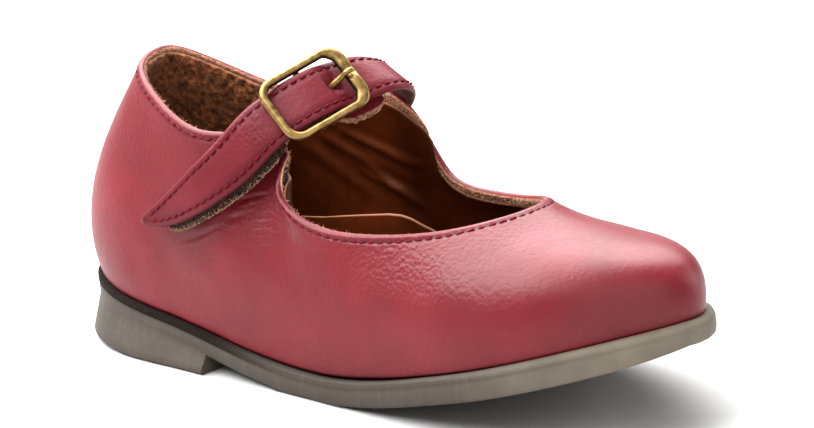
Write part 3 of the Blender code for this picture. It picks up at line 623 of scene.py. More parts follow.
# Fine hairs grown on a hidden base sheet: suede nap, raw edges and tape pile
def hairTree():
    tree = bpy.data.node_groups.new("hairField", "GeometryNodeTree")
    tree.interface.new_socket("Geometry", in_out="INPUT", socket_type="NodeSocketGeometry")
    for name in ("Density", "Length", "Width", "Spread"):
        tree.interface.new_socket(name, in_out="INPUT", socket_type="NodeSocketFloat")
    tree.interface.new_socket("Seed", in_out="INPUT", socket_type="NodeSocketInt")
    tree.interface.new_socket("Hair", in_out="INPUT", socket_type="NodeSocketMaterial")
    tree.interface.new_socket("Geometry", in_out="OUTPUT", socket_type="NodeSocketGeometry")
    start = tree.nodes.new("NodeGroupInput")
    end = tree.nodes.new("NodeGroupOutput")
    points = addNode(tree, "GeometryNodeDistributePointsOnFaces", {"Mesh": start.outputs["Geometry"],
                                                                   "Density": start.outputs["Density"],
                                                                   "Seed": start.outputs["Seed"]})
    cone = addNode(tree, "GeometryNodeMeshCone", {"Vertices": 3, "Radius Top": 0.0, "Radius Bottom": 0.5,
                                                  "Depth": 1.0}, fill_type="NONE")
    size = addNode(tree, "ShaderNodeCombineXYZ", {"X": start.outputs["Width"], "Y": start.outputs["Width"],
                                                  "Z": start.outputs["Length"]})
    hair = addNode(tree, "GeometryNodeTransform", {"Geometry": cone.outputs["Mesh"],
                                                   "Scale": size.outputs["Vector"]})
    lean = mathNode(tree, "MULTIPLY", start.outputs["Spread"], -1.0)
    low = addNode(tree, "ShaderNodeCombineXYZ", {"X": lean, "Y": lean, "Z": -3.14})
    high = addNode(tree, "ShaderNodeCombineXYZ", {"X": start.outputs["Spread"], "Y": start.outputs["Spread"],
                                                  "Z": 3.14})
    toss = addNode(tree, "FunctionNodeRandomValue", {
        "Min": low.outputs["Vector"],
        "Max": high.outputs["Vector"],
        "Seed": start.outputs["Seed"],
    }, data_type="FLOAT_VECTOR")
    bend = addNode(tree, "FunctionNodeEulerToRotation", {0: toss.outputs["Value"]})
    turned = addNode(tree, "FunctionNodeRotateRotation", {
        "Rotation": points.outputs["Rotation"],
        "Rotate By": bend.outputs[0],
    }, rotation_space="LOCAL")
    grow = addNode(tree, "FunctionNodeRandomValue", {"Seed": 7}, data_type="FLOAT")
    grow.inputs[2].default_value, grow.inputs[3].default_value = 0.5, 1.4
    placed = addNode(tree, "GeometryNodeInstanceOnPoints", {"Points": points.outputs["Points"],
                                                            "Instance": hair.outputs["Geometry"],
                                                            "Rotation": turned.outputs["Rotation"],
                                                            "Scale": grow.outputs[1]})
    real = addNode(tree, "GeometryNodeRealizeInstances", {"Geometry": placed.outputs["Instances"]})
    coloured = addNode(tree, "GeometryNodeSetMaterial", {"Geometry": real.outputs["Geometry"]})
    tree.links.new(start.outputs["Hair"], coloured.inputs["Material"])
    tree.links.new(coloured.outputs["Geometry"], end.inputs["Geometry"])
    return tree


hairNodes = hairTree()


def growHairs(name, vertices, faces, hair, material):
    piece = makePiece(name, vertices, faces, None, None)
    modifier = piece.modifiers.new("hairs", "NODES")
    modifier.node_group = hairNodes
    for key in ("Density", "Length", "Width", "Spread", "Seed"):
        modifier[socketId(hairNodes, key)] = hair[key.lower()]
    modifier[socketId(hairNodes, "Hair")] = material
    bakeModifiers(piece)
    return settle(piece)


# Linings: a smooth brown one in front and suede round the heel
lining = {
    "thickness": 0.0007,
    "topDrop": 0.0024,
    "cornerDrop": 0.0024,
    "cornerAlong": 0.042,
    "cornerSpread": 0.008,
    "seamAlong": 0.028,
    "innerSeamAlong": 0.010,
    "tuft": 0.00034,
    "tuftSize": 0.00095,
    "nap": {"density": 2600000.0, "length": 0.0011, "width": 0.00011, "spread": 1.05, "seed": 4},
    "rawNap": {"density": 8500000.0, "length": 0.0007, "width": 0.00011, "spread": 1.2, "seed": 9},
}

# Folds of the inner side's lining, as ridges: x and z of their points, width and height, in mm
liningFolds = (
    (((20.7, 39.4), (25.7, 38.0), (30.9, 36.3), (38.4, 32.9), (45.1, 29.0)), 1.2, 0.75),
    (((26.9, 41.5), (32.9, 40.3), (38.7, 39.4), (42.8, 38.2), (46.8, 37.1)), 1.0, 0.60),
    (((29.3, 34.0), (34.8, 32.3), (42.5, 30.8), (46.6, 27.4)), 1.0, 0.55),
    (((24.0, 36.9), (29.5, 34.9), (36.0, 31.6)), 0.8, 0.32),
    (((31.0, 38.2), (37.0, 36.2), (43.0, 33.6)), 0.8, 0.32),
    (((13.1, 37.4), (18.3, 35.3), (25.2, 32.2), (32.4, 29.0)), 1.6, 0.40),
)


def ridgeHeight(points, line, width, height):
    line = np.array(line) / 1000
    flat = points[..., [0, 2]]
    nearest = np.full(points.shape[:-1], 1.0)
    fade = np.zeros(points.shape[:-1])
    lengths = runLengths(line)
    for start, end, before in zip(line[:-1], line[1:], lengths[:-1]):
        run = end - start
        share = np.clip(((flat - start) @ run) / (run @ run), 0, 1)
        gap = np.linalg.norm(flat - (start + share[..., None] * run), axis=-1)
        travelled = (before + share * np.linalg.norm(run)) / lengths[-1]
        closer = gap < nearest
        nearest = np.where(closer, gap, nearest)
        fade = np.where(closer, np.sin(np.clip(travelled * 0.86 + 0.07, 0, 1) * math.pi) ** 0.6, fade)
    size = width / 1000
    shape = np.exp(-(nearest / size) ** 2) - 0.5 * np.exp(-((nearest - 1.8 * size) / size) ** 2)
    return fade * height / 1000 * shape


def longFolds(points):  # soft folds running along the inner wall
    rise = 0.00010 * softNoise(points, 0.006, 12)
    for line, width, height in liningFolds:
        rise = rise + (points[..., 1] > 0) * ridgeHeight(points, line, width, height)
    return rise


def tufts(points):
    size = lining["tuftSize"]
    return lining["tuft"] * (softNoise(points, size, 41) + 0.6 * softNoise(points, size / 2.2, 42) + 0.8)


def liningShell(name, places, material, relief, up, topDrop):
    climbs = np.linspace(0, 1, 120)
    outside = upperSheet(places, climbs)
    facing = sheetFacing(places, climbs)
    steps = np.linalg.norm(np.diff(outside, axis=1), axis=-1)
    distance = np.concatenate([np.cumsum(steps[:, ::-1], axis=1)[:, ::-1],
                               np.zeros((len(places), 1))], axis=1)
    levels = np.linspace(0.02, 1, up)
    points = np.empty((len(places), up, 3))
    normals = np.empty((len(places), up, 3))
    for here in range(len(places)):
        rimX, rimY = outside[here, -1, :2]
        reach = (rimX - lining["cornerAlong"]) / lining["cornerSpread"]
        lower = lining["cornerDrop"] * math.exp(-reach ** 2) * (rimY < 0)  # behind the throat's back corner
        top = np.interp(topDrop + lower, distance[here, ::-1], climbs[::-1])
        for axis in range(3):
            points[here, :, axis] = np.interp(levels * top, climbs, outside[here, :, axis])
            normals[here, :, axis] = np.interp(levels * top, climbs, facing[here, :, axis])
    depth = leather + 0.00005
    inner = points - normals * (depth + lining["thickness"] + np.maximum(relief(points), -0.0002))[..., None]
    outer = points - normals * depth
    edgeUp = unitOf(points[:, -1] - points[:, -3])
    edge = (inner[:, -1] + outer[:, -1]) / 2 + edgeUp * lining["thickness"] * 0.4
    backRows = list(range(0, up, 8))
    rings = [outer[:, row] for row in backRows] + [outer[:, -1], edge]
    rings += [inner[:, row] for row in range(up - 1, -1, -1)]
    raw = np.zeros((len(rings), len(places)))
    raw[len(backRows):len(backRows) + 2] = 0.5
    piece = makePiece(name, np.stack(rings), gridFaces(len(rings), len(places), True, False), material,
                      "insole_leather", {"raw": raw.ravel()})
    closeHoles(piece)
    return inner


def closeHoles(piece):
    shape = bmesh.new()
    shape.from_mesh(piece.data)
    bmesh.ops.holes_fill(shape, edges=[edge for edge in shape.edges if edge.is_boundary], sides=0)
    bmesh.ops.recalc_face_normals(shape, faces=shape.faces)
    shape.to_mesh(piece.data)
    shape.free()


def placeWhere(along, outerSide):  # the place round the shoe whose top edge lies at this x
    toePlace = sectionPlaces[shoe["toeRow"]]
    places = np.linspace(0, toePlace, 2000) if outerSide else np.linspace(girth, toePlace, 2000)
    return float(np.interp(along, np.maximum.accumulate(sectionAt(places)[:, 2]), places))


seamOuter = placeWhere(lining["seamAlong"], True)
seamInner = placeWhere(lining["innerSeamAlong"], False)
frontPlaces = np.linspace(seamOuter - 0.002, seamInner + 0.002, 330)
heelPlaces = np.linspace(seamInner - girth, seamOuter, 420)
liningShell("quarterLining", frontPlaces, quarterLiningMaterial, longFolds, 70, lining["topDrop"])
suedeFace = liningShell("heelLining", heelPlaces, heelLiningMaterial, tufts, 130, lining["topDrop"] * 0.55)
napFace = suedeFace[::6, 40::5]
growHairs("heelNap", napFace, gridFaces(*napFace.shape[:2]), lining["nap"], heelLiningMaterial)
rimFacing = outerNormal[:, -1]
rawTop = outerFace[:, -1] - rimFacing * leather * 1.02 - rimUp * 0.0001
rawBand = np.stack([rawTop, rawTop - rimUp * 0.0019 - rimFacing * 0.0002])[:, ::2]
growHairs("rawEdgeNap", rawBand, gridFaces(2, rawBand.shape[1], False, True), lining["rawNap"],
          rawFibreMaterial)
print("linings made")


# Arch pad: the footbed's leather drawn up the inner wall
archPad = {
    "top": ((0.004, 0.0125), (0.012, 0.0205), (0.019, 0.0214), (0.0297, 0.0236), (0.0381, 0.0253),
            (0.0413, 0.0256), (0.0437, 0.0252), (0.0481, 0.0231), (0.054, 0.0180), (0.062, 0.0105)),
    "thickness": 0.0010,
    "gap": 0.0003,
    "rows": 36,
    "stations": 150,
}
padPlaces = np.linspace(placeWhere(0.060, False), placeWhere(0.000, False), archPad["stations"])
padClimbs = np.linspace(0, 0.75, 200)
padWall = upperSheet(padPlaces, padClimbs)
padFacing = sheetFacing(padPlaces, padClimbs)
padTable = np.array(archPad["top"])
padOuter = np.empty((archPad["stations"], archPad["rows"], 3))
padNormal = np.empty_like(padOuter)
for here in range(archPad["stations"]):
    above = padWall[here, :, 2] - np.interp(padWall[here, :, 0], padTable[:, 0], padTable[:, 1])
    top = np.interp(0.0, above, padClimbs)
    spots = np.linspace(0.06, max(top, 0.10), archPad["rows"])
    for axis in range(3):
        padOuter[here, :, axis] = np.interp(spots, padClimbs, padWall[here, :, axis])
        padNormal[here, :, axis] = np.interp(spots, padClimbs, padFacing[here, :, axis])
padDepth = leather + lining["thickness"] + archPad["gap"]
padThin = np.linspace(1, 0, archPad["rows"]) ** 0.7 * archPad["thickness"] + 0.0003
padInner = padOuter - padNormal * (padDepth + padThin[:, None])
padBack = padOuter - padNormal * padDepth
padBackRows = range(0, archPad["rows"], 5)
padRings = [padBack[:, row] for row in padBackRows]
padRings += [padInner[:, row] for row in range(archPad["rows"] - 1, -1, -1)]
padRaw = np.zeros((len(padRings), archPad["stations"]))
padRaw[len(padBackRows) - 1:len(padBackRows) + 1] = 1.0
padPiece = makePiece("archPad", np.stack(padRings),
                     gridFaces(len(padRings), archPad["stations"], True, False),
                     insoleMaterial, "insole_leather", {"raw": padRaw.ravel()})
closeHoles(padPiece)
print("arch pad made")


# Outsole
outsole = {
    "stations": 150,
    "edge": 0.0050,
    "toeEdge": 0.0062,
    "toeRoll": 0.0018,
    "toeRollBend": 8,
    "band": 0.0014,
    "bandStep": 0.00025,
    "flare": 0.0017,
    "heelWear": 0.0010,
    "heelLength": 0.045,
    "baseStart": 0.43,
    "baseEnd": 0.55,
    "roundness": 0.0007,
    "taupeDark": (0.062, 0.050, 0.041),
    "taupeLight": (0.088, 0.074, 0.061),
    "dust": (0.105, 0.091, 0.076),
    "streak": (0.175, 0.155, 0.125),
    "worn": (0.270, 0.232, 0.180),
    "bandBrown": (0.012, 0.006, 0.004),
}

soleMaterial, soleTree, soleShader = newMaterial("taupeRubber")
solePlace = objectPlace(soleTree)
soleBroad = noiseTexture(soleTree, solePlace, 80.0, 3.0)
soleFine = noiseTexture(soleTree, solePlace, 1600.0, 3.0, 0.6)
soleColor = addRamp(soleTree, soleBroad, ((0.25, outsole["taupeDark"]), (0.75, outsole["taupeLight"])))
soleColor = mixColor(soleTree, mathNode(soleTree, "MULTIPLY", soleFine, 0.4), soleColor, outsole["dust"])
soleStreak = noiseTexture(soleTree, objectPlace(soleTree, (1.0, 1.0, 0.12)), 900.0, 4.0, 0.7)
soleStreak = addNode(soleTree, "ShaderNodeMapRange", {
    "Value": soleStreak,
    "From Min": 0.52,
    "From Max": 0.74,
    "To Max": 0.22,
}).outputs["Result"]
soleColor = mixColor(soleTree, soleStreak, soleColor, outsole["streak"])
soleWorn = mathNode(soleTree, "MULTIPLY", attributeValue(soleTree, "worn"), soleBroad)
soleColor = mixColor(soleTree, soleWorn, soleColor, outsole["worn"])
bandShare = attributeValue(soleTree, "band")
soleColor = mixColor(soleTree, bandShare, soleColor, outsole["bandBrown"])
soleTree.links.new(soleColor, soleShader.inputs["Base Color"])
soleRough = mathNode(soleTree, "MULTIPLY_ADD", soleFine, 0.25, 0.50)
soleRough = mathNode(soleTree, "MULTIPLY_ADD", bandShare, 0.30, soleRough)
soleTree.links.new(soleRough, soleShader.inputs["Roughness"])
soleShader.inputs["Specular IOR Level"].default_value = 0.28
soleNormal = bumpNode(soleTree, soleFine, 0.35, 0.0001)
soleNormal = bumpNode(soleTree, soleFine, bandShare, 0.0005, soleNormal)
soleTree.links.new(soleNormal, soleShader.inputs["Normal"])


def sideAt(along, outerSide, inset):
    toePlace = sectionPlaces[shoe["toeRow"]]
    start, end = (0.0, toePlace) if outerSide else (girth, toePlace)
    places = np.linspace(start, end, 3000)
    lengths = np.maximum.accumulate(sectionAt(places)[:, 0])
    points, outward = soleOutline(np.interp(along, lengths, places))
    return points - outward * np.asarray(inset)[..., None]


def baseHeight(along):
    behind, ahead = (outsole[key] * shoe["length"] - shoe["heelCentre"] for key in ("baseStart", "baseEnd"))
    toeward = np.clip((along - ahead) / (shoe["length"] - shoe["heelCentre"] - ahead), 0, 1)
    lifted = seatHeight(along) - outsole["edge"] - (outsole["toeEdge"] - outsole["edge"]) * toeward
    lifted = lifted + outsole["toeRoll"] * toeward ** outsole["toeRollBend"]
    return np.where((along > behind) & (along < ahead), 0.0, np.maximum(lifted, 0.0))


soleFirst, soleLast = sectionValues[0, 0], sectionValues[shoe["toeRow"], 0]
soleTurn = np.linspace(0, math.pi, outsole["stations"])
stations = soleFirst + (soleLast - soleFirst) * (1 - np.cos(soleTurn)) / 2
breast = outsole["heelLength"] - shoe["heelCentre"]
nearestStation = int(np.argmin(np.abs(stations - breast)))
stations[nearestStation] = breast
underHeel = stations <= breast
stations = np.insert(stations, nearestStation, breast)
underHeel = np.insert(underHeel, nearestStation + 1, False)
seat = seatHeight(stations)
shank = baseHeight(stations)
base = np.where(underHeel, outsole["heelWear"] * (1 - smoothStep(-0.023, 0.010, stations)), shank)
bandStep = 0.00003 + outsole["bandStep"] * (1 - smoothStep(0.014, 0.040, stations))
splay = np.where(underHeel, -outsole["flare"], bandStep)
soleRound = outsole["roundness"]
bandDepth = outsole["band"]
topRound = 0.0002 + 0.0009 * smoothStep(0.060, 0.110, stations)
levels = [  # height, inset from the outline, share of the dark band
    (seat, topRound + 0.0012, 1.0),
    (seat, topRound, 1.0),
    (seat - topRound * 0.3, topRound * 0.3, 1.0),
    (seat - topRound, 0.0, 1.0),
    (seat - bandDepth, 0.0, 1.0),
    (seat - bandDepth - 0.0001, bandStep, 0.3),
]
for share in (0.12, 0.35, 0.6, 0.85, 1.0):
    top = seat - bandDepth - 0.0002
    low = shank + soleRound
    levels.append((top + (low - top) * share, bandStep - 0.00015 * math.sin(share * math.pi), 0.0))
for share in (0.25, 0.5, 0.75, 1.0):
    start = shank + soleRound
    low = base + soleRound
    inset = bandStep + (splay - bandStep) * share
    levels.append((start + (low - start) * share, inset, 0.0))
for turn in (0.33, 0.66, 1.0):
    angle = turn * math.pi / 2
    levels.append((base + soleRound * (1 - math.sin(angle)), splay + soleRound * (1 - math.cos(angle)), 0.0))
levels.append((base, splay + soleRound * 2.5, 0.0))
soleRings, soleBand = [], []
for height, inset, bandValue in levels:
    height = np.broadcast_to(height, stations.shape)
    outerEdge = np.column_stack([sideAt(stations, True, np.broadcast_to(inset, stations.shape)), height])
    innerEdge = np.column_stack([sideAt(stations, False, np.broadcast_to(inset, stations.shape)), height])
    ring = np.concatenate([outerEdge, innerEdge[::-1]])
    soleRings.append(ring)
    fade = 1 - smoothStep(0.022, 0.050, ring[:, 0]) * 0.92
    soleBand.append(bandValue * fade)
soleCount = len(stations)
soleFaces = gridFaces(len(soleRings), 2 * soleCount, False, True)[:, ::-1].tolist()
topStart, bottomStart = 0, (len(soleRings) - 1) * 2 * soleCount
for here in range(soleCount - 1):
    outerCorner, innerCorner = here, 2 * soleCount - 1 - here
    soleFaces.append((topStart + outerCorner, topStart + outerCorner + 1, topStart + innerCorner - 1,
                      topStart + innerCorner))
    soleFaces.append((bottomStart + innerCorner, bottomStart + innerCorner - 1,
                      bottomStart + outerCorner + 1, bottomStart + outerCorner))
solePiece = makePiece("outsoleRubber", np.stack(soleRings), soleFaces, soleMaterial, "sole_rubber",
                      {"band": np.concatenate(soleBand),
                       "worn": smoothStep(0.080, 0.120, np.stack(soleRings)[..., 0]).ravel()})


def mergePoints(piece, distance):
    shape = bmesh.new()
    shape.from_mesh(piece.data)
    bmesh.ops.remove_doubles(shape, verts=shape.verts, dist=distance)
    bmesh.ops.recalc_face_normals(shape, faces=shape.faces)
    shape.to_mesh(piece.data)
    shape.free()
    piece.data.set_sharp_from_angle(angle=math.radians(50))


mergePoints(solePiece, 0.000002)
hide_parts("outsole")
print("outsole made")


# Footbed
footbed = {
    "stations": 120,
    "across": 41,
    "thickness": 0.0028,
    "cup": 0.0012,
    "bluntness": 0.12,
    "archRise": 0.0035,
    "archPlace": 0.40,
    "archSpread": 0.16,
}


def insideReach(along, outerSide):
    toePlace = sectionPlaces[shoe["toeRow"]]
    start, end = (0.0, toePlace) if outerSide else (girth, toePlace)
    places = np.linspace(start, end, 3000)
    points, outward = soleOutline(places)
    points = points - outward * (ledgeAt(points[:, 0]) + shoe["wall"] + shoe["clearance"])[:, None]
    return np.interp(along, np.maximum.accumulate(points[:, 0]), points[:, 1])


bedFirst = soleFirst + ledgeAt(soleFirst) + shoe["wall"] + shoe["clearance"]
bedLast = soleLast - ledgeAt(soleLast) - shoe["wall"] - shoe["clearance"]
bedTurn = np.linspace(footbed["bluntness"], math.pi - footbed["bluntness"], footbed["stations"])
bedAlong = bedFirst + (bedLast - bedFirst) * (1 - np.cos(bedTurn)) / 2
bedOuter, bedInner = insideReach(bedAlong, True), insideReach(bedAlong, False)
bedFloor = seatHeight(bedAlong) + shoe["clearance"]
bedShare = (bedAlong + shoe["heelCentre"]) / shoe["length"]
bedArch = footbed["archRise"] * np.exp(-((bedShare - footbed["archPlace"]) / footbed["archSpread"]) ** 2)
bedRows, bedRaw = [], []
acrossShares = 0.5 - 0.5 * np.cos(np.linspace(0, math.pi, footbed["across"]))
for across in acrossShares:
    side = bedOuter + (bedInner - bedOuter) * across
    rise = (footbed["thickness"] + bedArch * max(2 * across - 1, 0.0) ** 2
            + footbed["cup"] * (2 * across - 1) ** 4)
    bedRows.append(np.column_stack([bedAlong, side, bedFloor + rise]))
    bedRaw.append(np.full(len(bedAlong), 1.0 if across > 0.985 or across < 0.015 else 0.0))
underRows = [np.column_stack([bedAlong, bedOuter + (bedInner - bedOuter) * across, bedFloor])
             for across in acrossShares[::-8]]
bedRings = bedRows + underRows
bedRaw += [np.zeros(len(bedAlong))] * len(underRows)
bedPiece = makePiece("footbedLeather", np.stack(bedRings),
                     gridFaces(len(bedRings), len(bedAlong), True, False),
                     insoleMaterial, "insole_leather", {"raw": np.concatenate(bedRaw)})
closeHoles(bedPiece)
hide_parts("insole")
print("footbed made")


# The strap's line
strap = {
    "width": 0.0104,
    "thickness": 0.0020,
    "tabLength": 0.034,
    "patch": 0.0008,
    "tabPath": ((0.219, 0.495, 0.0), (0.268, 0.548, 0.0), (0.322, 0.636, 0.15), (0.367, 0.742, 0.6)),
    "rootPath": ((0.430, 0.860, 0.0), (0.383, 0.760, 0.15)),
    "instepPath": (
        (0.4097, -0.298, 0.868, (0.50, -0.64, 0.58)),
        (0.436, -0.143, 0.920, (0.60, -0.47, 0.64)),
        (0.4560, 0.016, 0.9600, (0.59, -0.38, 0.71)),
        (0.467, 0.150, 0.955, (0.45, 0.35, 0.82)),
    ),
    "tabShape": ((0.00, 0.03), (0.06, 0.26), (0.15, 0.46), (0.30, 0.66),
                 (0.55, 0.86), (0.80, 0.97), (1.00, 1.00)),
    "stations": 300,
    "sides": 44,
    "stitchInset": 0.0014,
    "stitchGroove": 0.00018,
    "creasePitch": 0.0010,
    "creaseDepth": 0.00008,
    "holeDepth": 0.0013,
}

buckle = {
    "length": 0.0196,
    "width": 0.0146,
    "thickness": 0.0017,
    "bar": 0.0016,
    "backBar": 0.0017,
    "endBar": 0.0026,
    "corner": 0.0038,
    "centreBar": 0.0014,
    "centreDrop": 0.0019,
    "prong": 0.0014,
    "holePlace": 0.0045,
    "holeLength": 0.0030,
    "holeWidth": 0.0018,
    "along": (0.337, 0.881, 0.332),
}

clearance = shoe["clearance"]
strapLift = strap["patch"] * 2 + clearance * 4 + strap["thickness"] / 2
rootLift = clearance * 4 + strap["thickness"] / 2
buckleLift = strap["thickness"] / 2 + clearance * 2 + buckle["thickness"] / 2
strapBulge = buckleLift - buckle["centreDrop"] + buckle["centreBar"] / 2 + clearance + strap["thickness"] / 2
linePoints, lineFacing = [], []
for along, height, lift in strap["tabPath"]:
    point, out = wallPoint(along, height, True)
    linePoints.append(point + out * (strapLift + lift * shoe["wall"]))
    lineFacing.append(out)
for along, side, height, out in strap["instepPath"]:
    linePoints.append(np.array([along * shoe["length"] - shoe["heelCentre"], side * shoe["ballWidth"],
                                height * shoe["collarHeight"]]))
    lineFacing.append(unitOf(out))
for along, height, lift in strap["rootPath"]:
    point, out = wallPoint(along, height, False)
    linePoints.append(point + out * (rootLift + lift * shoe["wall"]))
    lineFacing.append(out)
lineKnots = runLengths(np.array(linePoints))
strapLength = lineKnots[-1]
buckleShare = lineKnots[len(strap["tabPath"]) + 1] / strapLength
linePointAt = makeSpline(linePoints, lineKnots, False)
lineFacingAt = makeSpline(lineFacing, lineKnots, False)


def strapLine(shares):
    places = np.asarray(shares, float) * strapLength
    return linePointAt(places), unitOf(lineFacingAt(places))


def strapHalf(shares):
    table = np.array(strap["tabShape"])
    fromTip = np.asarray(shares) * strapLength / strap["tabLength"]
    return strap["width"] / 2 * np.interp(fromTip, table[:, 0], table[:, 1])


def bulgeAt(shares):
    reach = np.abs(np.asarray(shares) - buckleShare) * strapLength / (buckle["length"] / 2)
    return strapBulge * np.cos(np.clip(reach, 0, 1) * math.pi / 2) ** 2


def strapFrame(shares, lift=0.0, bulge=True):
    points, facing = strapLine(shares)
    if bulge:
        points = points + facing * bulgeAt(shares)[:, None]
    tangents = unitOf(np.gradient(points, axis=0))
    across = unitOf(np.cross(facing, tangents))
    out = unitOf(np.cross(tangents, across))
    return points + out * lift, across, out, tangents


bucklePoint, buckleOut = strapLine([buckleShare])
buckleOut = buckleOut[0]
buckleAlong = np.array(buckle["along"])
buckleAlong = unitOf(buckleAlong - buckleOut * (buckleAlong @ buckleOut))
buckleAcross = np.cross(buckleOut, buckleAlong)
buckleCentre = bucklePoint[0] + buckleOut * buckleLift


def bucklePlace(along, across, out):
    along, across, out = np.broadcast_arrays(along, across, out)
    return (buckleCentre + along[..., None] * buckleAlong + across[..., None] * buckleAcross
            + out[..., None] * buckleOut)


# Strap: a folded and stitched band with a pointed tab
bandSides = strap["sides"]
strapShares = np.linspace(0, 1, strap["stations"])
strapPoints, strapAcross, strapOut, _ = strapFrame(strapShares)
strapHalves = strapHalf(strapShares)
angles = np.linspace(0, 2 * math.pi, bandSides, endpoint=False)
crossSide = np.sign(np.cos(angles)) * np.abs(np.cos(angles)) ** 0.45
crossLevel = np.sign(np.sin(angles)) * np.abs(np.sin(angles)) ** 0.75
halfThick = strap["thickness"] / 2 * (0.55 + 0.45 * smoothStep(0, 0.2, strapHalves / strap["width"] * 2))
side = crossSide[None, :] * strapHalves[:, None]
level = crossLevel[None, :] * halfThick[:, None]
edgeDistance = strapHalves[:, None] - np.abs(side)
topShare = (crossLevel > 0.2)[None, :]
groove = strap["stitchGroove"] * np.exp(-((edgeDistance - strap["stitchInset"]) / 0.0004) ** 2) * topShare
level = level - groove
tipDistance = strapShares[:, None] * strapLength
tabWave = np.exp(-((tipDistance - buckleShare * strapLength + 0.0135) / 0.0035) ** 2)
creasePhase = (tipDistance + 0.30 * np.abs(side + 0.002)) / strap["creasePitch"]
creasePhase = creasePhase + 0.8 * softNoise(strapPoints[:, None] + side[..., None], 0.003, 23)
wave = strap["creaseDepth"] * np.sin(creasePhase * 2 * math.pi) * tabWave
level = level + wave * topShare * smoothStep(0.0004, 0.0018, edgeDistance)
strapGrid = (strapPoints[:, None] + strapAcross[:, None] * side[..., None]
             + strapOut[:, None] * level[..., None])
strapGrid = strapGrid + strapOut[:, None] * (0.00010 * softNoise(strapGrid, 0.006, 21))[..., None]
holeAlong = (strapGrid - buckleCentre) @ buckleAlong - buckle["holePlace"]
holeAcross = (strapGrid - buckleCentre) @ buckleAcross
holeReach = np.sqrt((holeAlong / (buckle["holeLength"] / 2)) ** 2
                    + (holeAcross / (buckle["holeWidth"] / 2)) ** 2)
holeDepth = strap["holeDepth"] * (1 - smoothStep(0.75, 1.05, holeReach)) * topShare
strapGrid = strapGrid - strapOut[:, None] * holeDepth[..., None]
strapGrain = np.clip(0.25 + 0.5 * tabWave + 0 * side, 0, 1)
strapRaw = np.where((crossLevel < -0.2)[None, :] & np.ones_like(side, bool), 0.8, 0.0)
# Painted shade along the strap's stitch grooves
strapSeamShade = 0.75 * np.exp(-((edgeDistance - strap["stitchInset"]) / 0.00034) ** 2) * topShare
capStart = len(strapGrid.reshape(-1, 3))
strapVertices = np.vstack([strapGrid.reshape(-1, 3), strapGrid[0].mean(0)[None],
                           strapGrid[-1].mean(0)[None]])
strapFaces = gridFaces(strap["stations"], bandSides, False, True).tolist()
for here in range(bandSides):
    there = (here + 1) % bandSides
    strapFaces.append((capStart, there, here))
    lastRow = (strap["stations"] - 1) * bandSides
    strapFaces.append((capStart + 1, lastRow + here, lastRow + there))
# Painted shade: the strap's raw underside, and its end caps by half, are darkened towards rawShade through
# the dark attribute
strapPiece = makePiece("strapLeather", strapVertices, strapFaces, strapMaterial, "upper_leather",
                       {"grain": np.append(strapGrain.ravel(), [0, 0]),
                        "raw": np.append(strapRaw.ravel(), [0, 0]),
                        "dark": np.append(strapRaw.ravel(), [0.5, 0.5]),
                        "seamShade": np.append(strapSeamShade.ravel(), [0, 0])})
mergePoints(strapPiece, 1e-9)
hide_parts("strap")
print("strap made")


# Buckle: an antique brass frame with its centre bar and prong
brassLook = {
    "shade": (0.190, 0.118, 0.042),
    "middle": (0.320, 0.215, 0.088),
    "light": (0.430, 0.310, 0.140),
    "tarnish": (0.030, 0.016, 0.006),
}

brass, brassTree, brassShader = newMaterial("antiqueBrass")
brassPlace = objectPlace(brassTree)
patina = noiseTexture(brassTree, brassPlace, 700.0, 4.0, 0.6)
brassColor = addRamp(brassTree, patina, ((0.30, brassLook["shade"]), (0.50, brassLook["middle"]),
                                         (0.75, brassLook["light"])))
brassColor = mixColor(brassTree, attributeValue(brassTree, "tarnish"), brassColor, brassLook["tarnish"])
brassTree.links.new(brassColor, brassShader.inputs["Base Color"])
brassTree.links.new(mathNode(brassTree, "MULTIPLY_ADD", patina, 0.25, 0.28), brassShader.inputs["Roughness"])
brassShader.inputs["Metallic"].default_value = 1.0
brassTree.links.new(bumpNode(brassTree, patina, 0.10, 0.00003), brassShader.inputs["Normal"])


def roundedRectangle(length, width, corner, steps):
    points = []
    for quarter, (x, y) in enumerate(((1, 1), (-1, 1), (-1, -1), (1, -1))):
        middle = np.array([x * (length / 2 - corner), y * (width / 2 - corner)])
        for turn in np.linspace(0, math.pi / 2, steps) + quarter * math.pi / 2:
            points.append(middle + corner * np.array([math.cos(turn), math.sin(turn)]))
    return np.array(points)


def resampleLoop(points, count):
    loop = np.vstack([points, points[:1]])
    lengths = runLengths(loop)
    spots = np.linspace(0, lengths[-1], count, endpoint=False)
    return np.column_stack([np.interp(spots, lengths, loop[:, axis]) for axis in range(2)])


ringCount, barSides = 220, 20
outerLoop = roundedRectangle(buckle["length"], buckle["width"], buckle["corner"], 16)
innerLoop = roundedRectangle(buckle["length"] - buckle["backBar"] - buckle["endBar"],
                             buckle["width"] - 2 * buckle["bar"], buckle["corner"] * 0.55, 16)
innerLoop = innerLoop + np.array([(buckle["backBar"] - buckle["endBar"]) / 2, 0.0])
midLoop = resampleLoop((outerLoop + innerLoop) / 2, ringCount)
midNext = np.roll(midLoop, -1, axis=0) - np.roll(midLoop, 1, axis=0)
midNormal = unitOf(np.column_stack([midNext[:, 1], -midNext[:, 0]]))
halfBar = np.full(ringCount, buckle["bar"] / 2)
halfBar = halfBar + (buckle["endBar"] - buckle["bar"]) / 2 * smoothStep(0.0058, 0.0078, midLoop[:, 0])
halfBar = halfBar + (buckle["backBar"] - buckle["bar"]) / 2 * smoothStep(0.0068, 0.0086, -midLoop[:, 0])
barTurn = np.linspace(0, 2 * math.pi, barSides, endpoint=False)
reachOut = np.sign(np.cos(barTurn)) * np.abs(np.cos(barTurn)) ** 0.8
reachUp = np.sign(np.sin(barTurn)) * np.abs(np.sin(barTurn)) ** 0.8
flat = midLoop[:, None] + midNormal[:, None] * (halfBar[:, None] * reachOut[None, :])[..., None]
